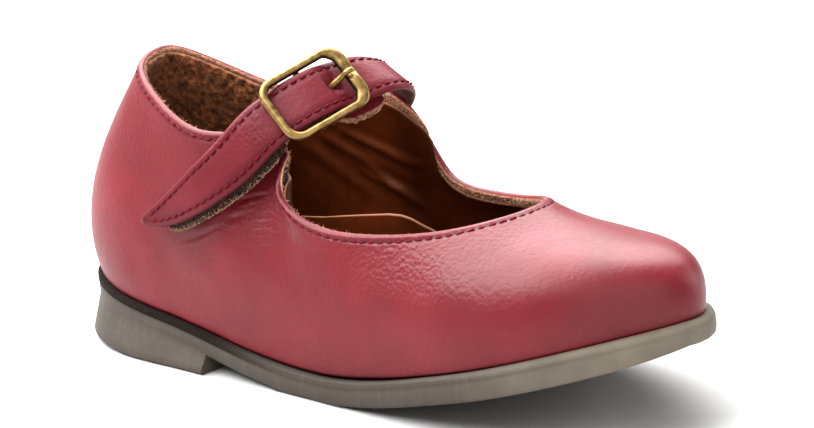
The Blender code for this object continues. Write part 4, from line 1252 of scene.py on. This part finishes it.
levelUp = buckle["thickness"] / 2 * reachUp[None, :] * np.ones((ringCount, 1))
notch = 0.00035 * np.exp(-(flat[..., 1] / 0.0010) ** 2) * (flat[..., 0] > 0.006) * (reachUp > 0.2)[None, :]
levelUp = levelUp - notch
frameGrid = bucklePlace(flat[..., 0], flat[..., 1], levelUp)
frameGrid = frameGrid + 0.00002 * softNoise(frameGrid, 0.0045, 31)[..., None] * buckleOut
inward = np.clip(-reachOut, 0, 1)[None, :] ** 2 * np.ones((ringCount, 1)) * 0.85
framePiece = makePiece("buckleFrame", frameGrid, gridFaces(ringCount, barSides, True, True)[:, ::-1], brass,
                       "buckle_brass", {"tarnish": inward.ravel()})
mergePoints(framePiece, 1e-9)


def tubeAlong(points, radii, sides, startFacing):
    points = np.asarray(points, float)
    tangents = unitOf(np.gradient(points, axis=0))
    first = unitOf(np.cross(tangents, startFacing))
    second = np.cross(tangents, first)
    turns = np.linspace(0, 2 * math.pi, sides, endpoint=False)[None, :, None]
    radii = np.broadcast_to(radii, len(points))[:, None, None]
    grid = points[:, None] + (first[:, None] * np.cos(turns) + second[:, None] * np.sin(turns)) * radii
    vertices = np.vstack([grid.reshape(-1, 3), points[:1], points[-1:]])
    faces = gridFaces(len(points), sides, False, True).tolist()
    start = len(points) * sides
    for here in range(sides):
        there = (here + 1) % sides
        faces.append((start, there, here))
        faces.append((start + 1, (len(points) - 1) * sides + here, (len(points) - 1) * sides + there))
    return vertices, faces


barEdge = buckle["width"] / 2 - buckle["bar"] / 2
low = -buckle["centreDrop"]
barPath = [(0, -barEdge, 0), (0, -barEdge, low + 0.0006), (0, -barEdge + 0.0006, low), (0, 0, low),
           (0, barEdge - 0.0006, low), (0, barEdge, low + 0.0006), (0, barEdge, 0)]
barPoints = np.array([bucklePlace(*map(np.float64, point)) for point in barPath])
barKnots = runLengths(barPoints)
barPoints = makeSpline(barPoints, barKnots, False)(np.linspace(0, barKnots[-1], 60))
barPiece = makePiece("buckleCentreBar", *tubeAlong(barPoints, buckle["centreBar"] / 2, 14, buckleAlong),
                     brass, "buckle_brass")
mergePoints(barPiece, 1e-9)
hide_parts("buckle_frame")

prongRadius = buckle["prong"] / 2
barGap = buckle["centreBar"] / 2 + prongRadius + 0.0001
rest = buckle["thickness"] / 2 + prongRadius - 0.0003
reach = buckle["length"] / 2
prongPath = [(math.sin(math.radians(turn)) * barGap, 0, low - math.cos(math.radians(turn)) * barGap)
             for turn in (-150, -120, -90, -60, -30, 0, 30, 60)]
prongPath += [(buckle["holePlace"] * 0.68, 0, low * 1.05), (buckle["holePlace"] * 1.1, 0, low * 0.35),
              (buckle["holePlace"] * 1.55, 0, rest * 0.75), (reach - buckle["endBar"], 0, rest),
              (reach - 0.0006, 0, rest)]
prongPoints = np.array([bucklePlace(*map(np.float64, point)) for point in prongPath])
prongKnots = runLengths(prongPoints)
prongLine = makeSpline(prongPoints, prongKnots, False)(np.linspace(0, prongKnots[-1], 80))
prongTaper = prongRadius * (1 - 0.25 * smoothStep(0.6, 1.0, np.linspace(0, 1, 80)))
prongTaper[-3:] *= (0.92, 0.75, 0.4)
prongPiece = makePiece("buckleProng", *tubeAlong(prongLine, prongTaper, 14, buckleAcross), brass,
                       "buckle_brass")
mergePoints(prongPiece, 1e-9)
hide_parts("buckle_prong")
print("buckle made")


# Hook-and-loop tapes
tape = {
    "hookStart": 0.0050,
    "loopStart": 0.0100,
    "peek": 0.0009,
    "inset": 0.0022,
    "loopLowShare": 0.72,
    "earWidth": 0.0120,
    "earEnd": 0.0125,
    "dark": (0.008, 0.0030, 0.002),
    "light": (0.085, 0.032, 0.018),
}

tapeMaterial, tapeTree, tapeShader = newMaterial("darkTape")
tapeNoise = noiseTexture(tapeTree, objectPlace(tapeTree), 2200.0, 3.0, 0.7)
tapeColor = addRamp(tapeTree, tapeNoise, ((0.42, tape["dark"]), (0.62, tape["light"])))
tapeTree.links.new(tapeColor, tapeShader.inputs["Base Color"])
tapeShader.inputs["Roughness"].default_value = 0.9
tapeTree.links.new(bumpNode(tapeTree, tapeNoise, 0.9, 0.0004), tapeShader.inputs["Normal"])


def tapeRibbon(name, shares, lowSide, highSide, depth, thickness, material, slotName,
               raw=None, grain=None, sides=9, dark=0.0):
    points, across, out, _ = strapFrame(shares, -depth, False)
    spread = np.concatenate([np.linspace(-1, 1, sides), np.linspace(1, -1, sides)])
    levels = np.concatenate([np.full(sides, thickness / 2), np.full(sides, -thickness / 2)])
    levels[[0, sides - 1, sides, -1]] *= 0.4
    reach = np.where(spread[None, :] < 0, lowSide[:, None] * spread[None, :],
                     highSide[:, None] * spread[None, :])
    grid = points[:, None] + across[:, None] * reach[..., None] + out[:, None] * levels[None, :, None]
    count = len(spread)
    vertices = np.vstack([grid.reshape(-1, 3), grid[0].mean(0)[None], grid[-1].mean(0)[None]])
    faces = gridFaces(len(shares), count, False, True).tolist()
    start = len(shares) * count
    for here in range(count):
        there = (here + 1) % count
        faces.append((start, there, here))
        faces.append((start + 1, (len(shares) - 1) * count + here, (len(shares) - 1) * count + there))
    zeros = np.zeros(len(vertices))
    piece = makePiece(name, vertices, faces, material, slotName,
                      {"raw": zeros if raw is None else np.append(raw(grid, spread).ravel(), [0, 0]),
                       "grain": zeros if grain is None else np.full(len(vertices), grain),
                       "dark": np.full(len(vertices), dark)})
    mergePoints(piece, 1e-9)
    return piece, grid


hookEnd = buckleShare - (buckle["length"] / 2 + clearance) / strapLength
hookShares = np.linspace(tape["hookStart"] / strapLength, hookEnd, 120)
hookHalf = strapHalf(hookShares)
hookEnds = np.minimum(hookShares - hookShares[0], hookShares[-1] - hookShares) * strapLength
hookLow = hookHalf + tape["peek"] * np.clip(hookEnds / tape["inset"], 0.3, 1)
hookHigh = np.maximum(hookHalf - tape["inset"], hookHalf * 0.3)
hookDepth = strap["thickness"] / 2 + clearance + strap["patch"] / 2
hookPiece, hookGrid = tapeRibbon("hookTape", hookShares, hookLow, hookHigh, hookDepth, strap["patch"],
                                 tapeMaterial, "hook_and_loop")
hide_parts("hook_patch")

loopEnd = buckleShare + (tape["earEnd"] - tape["inset"]) / strapLength
loopShares = np.linspace(tape["loopStart"] / strapLength, loopEnd, 120)
loopEnds = np.minimum(loopShares - loopShares[0], loopShares[-1] - loopShares) * strapLength
loopHalf = (tape["earWidth"] / 2 - tape["inset"] / 2) * np.sqrt(np.clip(loopEnds / tape["inset"], 0.2, 1))
loopDepth = strapLift - clearance * 1.5 - strap["patch"] / 2
loopPiece, loopGrid = tapeRibbon("loopTape", loopShares, loopHalf * tape["loopLowShare"], loopHalf,
                                 loopDepth, strap["patch"], tapeMaterial, "hook_and_loop")
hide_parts("loop_patch")

# Pile of the tapes, and the woven loops along the lower edge of the hook tape
pile = {"density": 9000000.0, "length": 0.0009, "width": 0.00014, "spread": 1.1, "seed": 12}
hookPile = hookGrid[4:-2, :9]
growHairs("hookPile", hookPile, gridFaces(hookPile.shape[0], 9), pile, tapeMaterial)
loopPile = loopGrid[2:-2, :9]
growHairs("loopPile", loopPile, gridFaces(loopPile.shape[0], 9), {**pile, "length": 0.0012, "seed": 13},
          tapeMaterial)

selvedge = {
    "pitch": 0.00056,
    "size": 0.00046,
    "yarn": 0.00010,
    "dark": (0.10, 0.055, 0.034),
    "light": (0.42, 0.29, 0.19),
}

selvedgeMaterial, selvedgeTree, selvedgeShader = newMaterial("selvedgeYarn")
selvedgeNoise = noiseTexture(selvedgeTree, objectPlace(selvedgeTree), 1500.0, 2.0)
selvedgeColor = addRamp(selvedgeTree, selvedgeNoise, ((0.35, selvedge["dark"]), (0.60, selvedge["light"])))
selvedgeTree.links.new(selvedgeColor, selvedgeShader.inputs["Base Color"])
selvedgeShader.inputs["Roughness"].default_value = 0.85


def loopTree():  # a row of small yarn rings along a line
    tree = bpy.data.node_groups.new("yarnLoops", "GeometryNodeTree")
    tree.interface.new_socket("Geometry", in_out="INPUT", socket_type="NodeSocketGeometry")
    for name in ("Pitch", "Size", "Yarn"):
        tree.interface.new_socket(name, in_out="INPUT", socket_type="NodeSocketFloat")
    tree.interface.new_socket("Thread", in_out="INPUT", socket_type="NodeSocketMaterial")
    tree.interface.new_socket("Geometry", in_out="OUTPUT", socket_type="NodeSocketGeometry")
    start = tree.nodes.new("NodeGroupInput")
    end = tree.nodes.new("NodeGroupOutput")
    curve = addNode(tree, "GeometryNodeMeshToCurve", {"Mesh": start.outputs["Geometry"]})
    spread = addNode(tree, "GeometryNodeResampleCurve", {"Curve": curve.outputs["Curve"]}, mode="LENGTH")
    tree.links.new(start.outputs["Pitch"], spread.inputs["Length"])
    ring = addNode(tree, "GeometryNodeCurvePrimitiveCircle", {"Resolution": 9,
                                                              "Radius": start.outputs["Size"]})
    yarn = addNode(tree, "GeometryNodeCurvePrimitiveCircle", {"Resolution": 4,
                                                              "Radius": start.outputs["Yarn"]})
    loop = addNode(tree, "GeometryNodeCurveToMesh", {"Curve": ring.outputs["Curve"],
                                                     "Profile Curve": yarn.outputs["Curve"]})
    facing = addNode(tree, "GeometryNodeInputNamedAttribute", {"Name": "facing"}, data_type="FLOAT_VECTOR")
    upright = addNode(tree, "FunctionNodeAlignRotationToVector", {"Vector": facing.outputs[0]}, axis="Z")
    low = addNode(tree, "ShaderNodeCombineXYZ", {"X": -0.7, "Y": -0.7, "Z": -1.5})
    high = addNode(tree, "ShaderNodeCombineXYZ", {"X": 0.7, "Y": 0.7, "Z": 1.5})
    toss = addNode(tree, "FunctionNodeRandomValue", {
        "Min": low.outputs["Vector"],
        "Max": high.outputs["Vector"],
        "Seed": 5,
    }, data_type="FLOAT_VECTOR")
    bend = addNode(tree, "FunctionNodeEulerToRotation", {0: toss.outputs["Value"]})
    turned = addNode(tree, "FunctionNodeRotateRotation", {
        "Rotation": upright.outputs["Rotation"],
        "Rotate By": bend.outputs[0],
    }, rotation_space="LOCAL")
    placed = addNode(tree, "GeometryNodeInstanceOnPoints", {"Points": spread.outputs["Curve"],
                                                            "Instance": loop.outputs["Mesh"],
                                                            "Rotation": turned.outputs["Rotation"]})
    real = addNode(tree, "GeometryNodeRealizeInstances", {"Geometry": placed.outputs["Instances"]})
    coloured = addNode(tree, "GeometryNodeSetMaterial", {"Geometry": real.outputs["Geometry"]})
    tree.links.new(start.outputs["Thread"], coloured.inputs["Material"])
    tree.links.new(coloured.outputs["Geometry"], end.inputs["Geometry"])
    return tree


selvedgePoints = hookGrid[3:-14, 0] * 0.6 + hookGrid[3:-14, 17] * 0.4
selvedgeOut = strapFrame(hookShares[3:-14])[2]
loopNodes = loopTree()
selvedgePiece = makePiece("hookSelvedge", selvedgePoints, [], None, None, {"facing": selvedgeOut},
                          [(here, here + 1) for here in range(len(selvedgePoints) - 1)])
selvedgeModifier = selvedgePiece.modifiers.new("loops", "NODES")
selvedgeModifier.node_group = loopNodes
for key in ("Pitch", "Size", "Yarn"):
    selvedgeModifier[socketId(loopNodes, key)] = selvedge[key.lower()]
selvedgeModifier[socketId(loopNodes, "Thread")] = selvedgeMaterial
bakeModifiers(selvedgePiece)
settle(selvedgePiece)

# Ear of the outer quarter under the strap: distance from the buckle's middle, reach below and above, in mm
ear = {
    "shape": ((-16.0, 5.5, 5.5), (-12.0, 5.0, 5.4), (-8.0, 3.6, 5.0), (-4.0, 2.2, 4.6), (0.0, 2.0, 4.3),
              (2.3, 2.1, 4.2), (2.8, 2.6, 4.2), (3.3, 4.0, 4.2), (4.1, 5.1, 4.2), (5.4, 6.0, 4.2),
              (7.2, 6.6, 4.2), (9.6, 6.6, 4.2), (12.4, 6.0, 4.0), (14.4, 5.0, 3.4), (16.2, 3.6, 2.4),
              (17.1, 1.6, 1.2)),
    "depth": 0.0009,
    "thickness": 0.0017,
    "sides": 33,
    "ragged": 0.03,
    # dark: share of painted shade on the ear's raw underside and cut edges
    "dark": 0.35,
}
earTable = np.array(ear["shape"]) / 1000
earPlaces = np.linspace(earTable[0, 0], earTable[-1, 0], 160)
earShares = buckleShare + earPlaces / strapLength
earLow = np.interp(earPlaces, earTable[:, 0], earTable[:, 1])
earHigh = np.interp(earPlaces, earTable[:, 0], earTable[:, 2])


def earRaw(grid, spread):
    edge = (np.abs(spread) > 0.93)[None, :] * np.ones((grid.shape[0], 1))
    return np.maximum(edge, (np.arange(grid.shape[1]) >= len(spread) // 2)[None, :] * 1.0)


earNoise = softNoise(np.column_stack([earPlaces, earPlaces * 0, earPlaces * 0]), 0.0006, 61)
earLow = earLow * (1 + ear["ragged"] * earNoise)
_, earGrid = tapeRibbon("earFlap", earShares, earLow, earHigh, strapLift + ear["depth"], ear["thickness"],
                        upperMaterial, "upper_leather", raw=earRaw, grain=1.0, sides=ear["sides"],
                        dark=ear["dark"])
earLast = ear["sides"] * 2
earBand = np.stack([earGrid[70:-3, 0], earGrid[70:-3, earLast - 1], earGrid[70:-3, earLast - 3]])
earHairs = {**lining["rawNap"], "density": 40000000.0, "length": 0.0009, "seed": 15}
growHairs("earNap", earBand, gridFaces(3, earBand.shape[1]), earHairs, rawFibreMaterial)
print("tapes and ear made")


# Stitches: small thread loops laid along lines on the surface
stitch = {
    "pitch": 0.0021,
    "length": 0.0016,
    "width": 0.00056,
    "height": 0.00048,
    "tilt": 0.10,
    "dark": (0.100, 0.0018, 0.0075),
    "light": (0.190, 0.0050, 0.0180),
}

threadMaterial, threadTree, threadShader = newMaterial("redThread")
threadNoise = noiseTexture(threadTree, objectPlace(threadTree), 3000.0, 2.0)
threadColor = addRamp(threadTree, threadNoise, ((0.3, stitch["dark"]), (0.7, stitch["light"])))
threadTree.links.new(threadColor, threadShader.inputs["Base Color"])
threadShader.inputs["Roughness"].default_value = 0.7
threadShader.inputs["Specular IOR Level"].default_value = 0.2


def stitchTree():
    tree = bpy.data.node_groups.new("stitchRow", "GeometryNodeTree")
    tree.interface.new_socket("Geometry", in_out="INPUT", socket_type="NodeSocketGeometry")
    for name in ("Pitch", "Length", "Width", "Height", "Tilt"):
        tree.interface.new_socket(name, in_out="INPUT", socket_type="NodeSocketFloat")
    tree.interface.new_socket("Thread", in_out="INPUT", socket_type="NodeSocketMaterial")
    tree.interface.new_socket("Geometry", in_out="OUTPUT", socket_type="NodeSocketGeometry")
    start = tree.nodes.new("NodeGroupInput")
    end = tree.nodes.new("NodeGroupOutput")
    curve = addNode(tree, "GeometryNodeMeshToCurve", {"Mesh": start.outputs["Geometry"]})
    spread = addNode(tree, "GeometryNodeResampleCurve", {"Curve": curve.outputs["Curve"]}, mode="LENGTH")
    tree.links.new(start.outputs["Pitch"], spread.inputs["Length"])
    ball = addNode(tree, "GeometryNodeMeshUVSphere", {"Segments": 8, "Rings": 6, "Radius": 0.5})
    size = addNode(tree, "ShaderNodeCombineXYZ", {"X": start.outputs["Length"], "Y": start.outputs["Width"],
                                                  "Z": start.outputs["Height"]})
    shape = addNode(tree, "GeometryNodeTransform", {"Geometry": ball.outputs["Mesh"],
                                                    "Scale": size.outputs["Vector"]})
    facing = addNode(tree, "GeometryNodeInputNamedAttribute", {"Name": "facing"}, data_type="FLOAT_VECTOR")
    tangent = addNode(tree, "GeometryNodeInputTangent")
    upright = addNode(tree, "FunctionNodeAlignRotationToVector", {"Vector": facing.outputs[0]}, axis="Z")
    turned = addNode(tree, "FunctionNodeAlignRotationToVector", {"Rotation": upright.outputs["Rotation"],
                                                                 "Vector": tangent.outputs["Tangent"]},
                     axis="X", pivot_axis="Z")
    lean = addNode(tree, "ShaderNodeCombineXYZ", {"Z": start.outputs["Tilt"]})
    leaning = addNode(tree, "FunctionNodeEulerToRotation", {0: lean.outputs["Vector"]})
    rotated = addNode(tree, "FunctionNodeRotateRotation", {
        "Rotation": turned.outputs["Rotation"],
        "Rotate By": leaning.outputs[0],
    }, rotation_space="LOCAL")
    placed = addNode(tree, "GeometryNodeInstanceOnPoints", {"Points": spread.outputs["Curve"],
                                                            "Instance": shape.outputs["Geometry"],
                                                            "Rotation": rotated.outputs["Rotation"]})
    real = addNode(tree, "GeometryNodeRealizeInstances", {"Geometry": placed.outputs["Instances"]})
    coloured = addNode(tree, "GeometryNodeSetMaterial", {"Geometry": real.outputs["Geometry"]})
    tree.links.new(start.outputs["Thread"], coloured.inputs["Material"])
    tree.links.new(coloured.outputs["Geometry"], end.inputs["Geometry"])
    return tree


stitchNodes = stitchTree()


def sewLines(name, lines, sizes=stitch, thread=threadMaterial):
    vertices, facings, edges = [], [], []
    for points, facing in lines:
        start = len(vertices)
        vertices += list(points)
        facings += list(facing)
        edges += [(start + here, start + here + 1) for here in range(len(points) - 1)]
    piece = makePiece(name, vertices, [], None, None, {"facing": np.array(facings)}, edges)
    modifier = piece.modifiers.new("stitches", "NODES")
    modifier.node_group = stitchNodes
    for key, value in (("Pitch", sizes["pitch"]), ("Length", sizes["length"]), ("Width", sizes["width"]),
                       ("Height", sizes["height"]), ("Tilt", sizes["tilt"]), ("Thread", thread)):
        modifier[socketId(stitchNodes, key)] = value
    bakeModifiers(piece)
    piece.data.shade_smooth()
    return settle(piece)


def rimLine(drop, choose, lift=0.00002):  # a line on the outer face, drop below the top edge
    index = np.arange(len(upperPlaces))
    points = np.empty((len(index), 3))
    normals = np.empty((len(index), 3))
    for i in index:
        for axis in range(3):
            points[i, axis] = np.interp(drop, fromRim[i][::-1], shaped[i, ::-1, axis])
            normals[i, axis] = np.interp(drop, fromRim[i][::-1], outerNormal[i, ::-1, axis])
    points = points + normals * lift
    keep = choose(points)
    lines = []
    gaps = np.where(~keep)[0]
    roll = (gaps[0] if len(gaps) else 0)
    order = np.roll(index, -roll)
    run = []
    for i in order:
        if keep[i]:
            run.append(i)
        elif run:
            lines.append((points[run], unitOf(normals[run])))
            run = []
    if run:
        lines.append((points[run], unitOf(normals[run])))
    return [line for line in lines if len(line[0]) > 4]


sewLines("toplineStitches", rimLine(upper["stitchDrop"], openRim))


def strapEdgeLine(sign, first, last):
    shares = np.linspace(first, last, 160)
    points, across, out, _ = strapFrame(shares)
    half = strapHalf(shares)
    offset = np.maximum(half - strap["stitchInset"], 0.0)
    level = strap["thickness"] / 2 * 0.93
    return points + across * (sign * offset)[:, None] + out * level, out


strapSewing = {
    "tip": 0.0042,
    "lastShare": 0.985,
    "cross": (0.925, 0.972),
    "crossInset": 0.0006,
    "crossPitch": 0.0011,
}
tipShare = strapSewing["tip"] / strapLength
sewLines("strapStitches", [strapEdgeLine(sign, tipShare, strapSewing["lastShare"]) for sign in (-1, 1)])
crossLines = []
crossShares = np.linspace(*strapSewing["cross"], 40)
crossPoints, crossAcross, crossOut, _ = strapFrame(crossShares)
crossHalf = strapHalf(crossShares) - strap["stitchInset"] - strapSewing["crossInset"]
for sign in (-1, 1):
    slant = sign * np.linspace(-1, 1, 40) * crossHalf
    crossPath = crossPoints + crossAcross * slant[:, None] + crossOut * strap["thickness"] * 0.48
    crossLines.append((crossPath, crossOut))
sewLines("rootCross", crossLines,
         {**stitch, "pitch": strapSewing["crossPitch"], "length": strapSewing["crossPitch"]})
print("stitches made")


# Camera at the photograph's angle, turned a little so that the shoe stands nearer the middle
view = {
    "azimuth": 40.0,
    "elevation": 16.0,
    "roll": -3.0,
    "distance": 0.600,
    "target": (0.052, 0.0, 0.025),
    "focalPixels": 3046.69,
    "slideRight": 0.02221,
    "slideUp": 0.00606,
    "framePixels": 92.0,
    "width": 814.0,
    "sensor": 36.0,
}
azimuth, elevation, roll = (math.radians(view[key]) for key in ("azimuth", "elevation", "roll"))
forward = Vector((-math.sin(azimuth) * math.cos(elevation), math.cos(azimuth) * math.cos(elevation),
                  -math.sin(elevation)))
level = Vector((math.cos(azimuth), math.sin(azimuth), 0.0))
upward = level.cross(forward)
right = level * math.cos(roll) + upward * math.sin(roll)
up = upward * math.cos(roll) - level * math.sin(roll)
eye = Vector(view["target"]) - forward * view["distance"] + right * view["slideRight"] + up * view["slideUp"]
turn = math.atan(view["framePixels"] / view["focalPixels"])
aimed = forward * math.cos(turn) - right * math.sin(turn)
aimedRight = right * math.cos(turn) + forward * math.sin(turn)
cameraData = bpy.data.cameras.new("photoCamera")
camera = bpy.data.objects.new("photoCamera", cameraData)
bpy.context.scene.collection.objects.link(camera)
cameraData.sensor_width = view["sensor"]
cameraData.lens = view["sensor"] * view["focalPixels"] / view["width"]
cameraData.clip_start = 0.01
cameraData.clip_end = 50.0
camera.matrix_world = Matrix((
    (aimedRight.x, up.x, -aimed.x, eye.x),
    (aimedRight.y, up.y, -aimed.y, eye.y),
    (aimedRight.z, up.z, -aimed.z, eye.z),
    (0, 0, 0, 1)))
bpy.context.scene.camera = camera

# Floor, three soft lights and a dim surround
studio = {
    "surround": (1.0, 1.0, 1.0),
    "surroundStrength": 0.07,
    "floor": (0.50, 0.50, 0.50),
    "lamps": (
        # name, place, aim, size, watts
        ("ceilingSoftbox", (-1.00, 0.15, 1.00), (-1.00, 0.15, 0.0), (2.3, 3.1), 148.0),
        ("rightFill", (1.45, -0.85, 0.90), (0.04, 0.0, 0.03), (2.0, 2.0), 20.0),
        ("backFill", (0.90, 1.30, 0.50), (0.09, 0.0, 0.03), (0.9, 0.9), 8.0),
    ),
}
world = bpy.data.worlds.new("studioSurround")
bpy.context.scene.world = world
world.use_nodes = True
background = world.node_tree.nodes["Background"]
background.inputs["Color"].default_value = (*studio["surround"], 1.0)
background.inputs["Strength"].default_value = studio["surroundStrength"]
for name, place, aim, size, watts in studio["lamps"]:
    lamp = bpy.data.lights.new(name, "AREA")
    lamp.shape = "RECTANGLE"
    lamp.size, lamp.size_y = size
    lamp.energy = watts
    holder = bpy.data.objects.new(name, lamp)
    bpy.context.scene.collection.objects.link(holder)
    holder.location = place
    holder.rotation_euler = (Vector(aim) - Vector(place)).to_track_quat("-Z", "Y").to_euler()

floorMaterial, _, floorShader = newMaterial("paleFloor")
floorShader.inputs["Base Color"].default_value = (*studio["floor"], 1.0)
floorShader.inputs["Roughness"].default_value = 0.8
floorPiece = makePiece("paleFloorSheet", [(-4, -4, 0), (4, -4, 0), (4, 4, 0), (-4, 4, 0)], [(0, 1, 2, 3)],
                       floorMaterial, None)
bpy.context.scene.view_settings.view_transform = "Standard"
bpy.context.scene.view_settings.look = "Medium High Contrast"
print("camera and lights set")
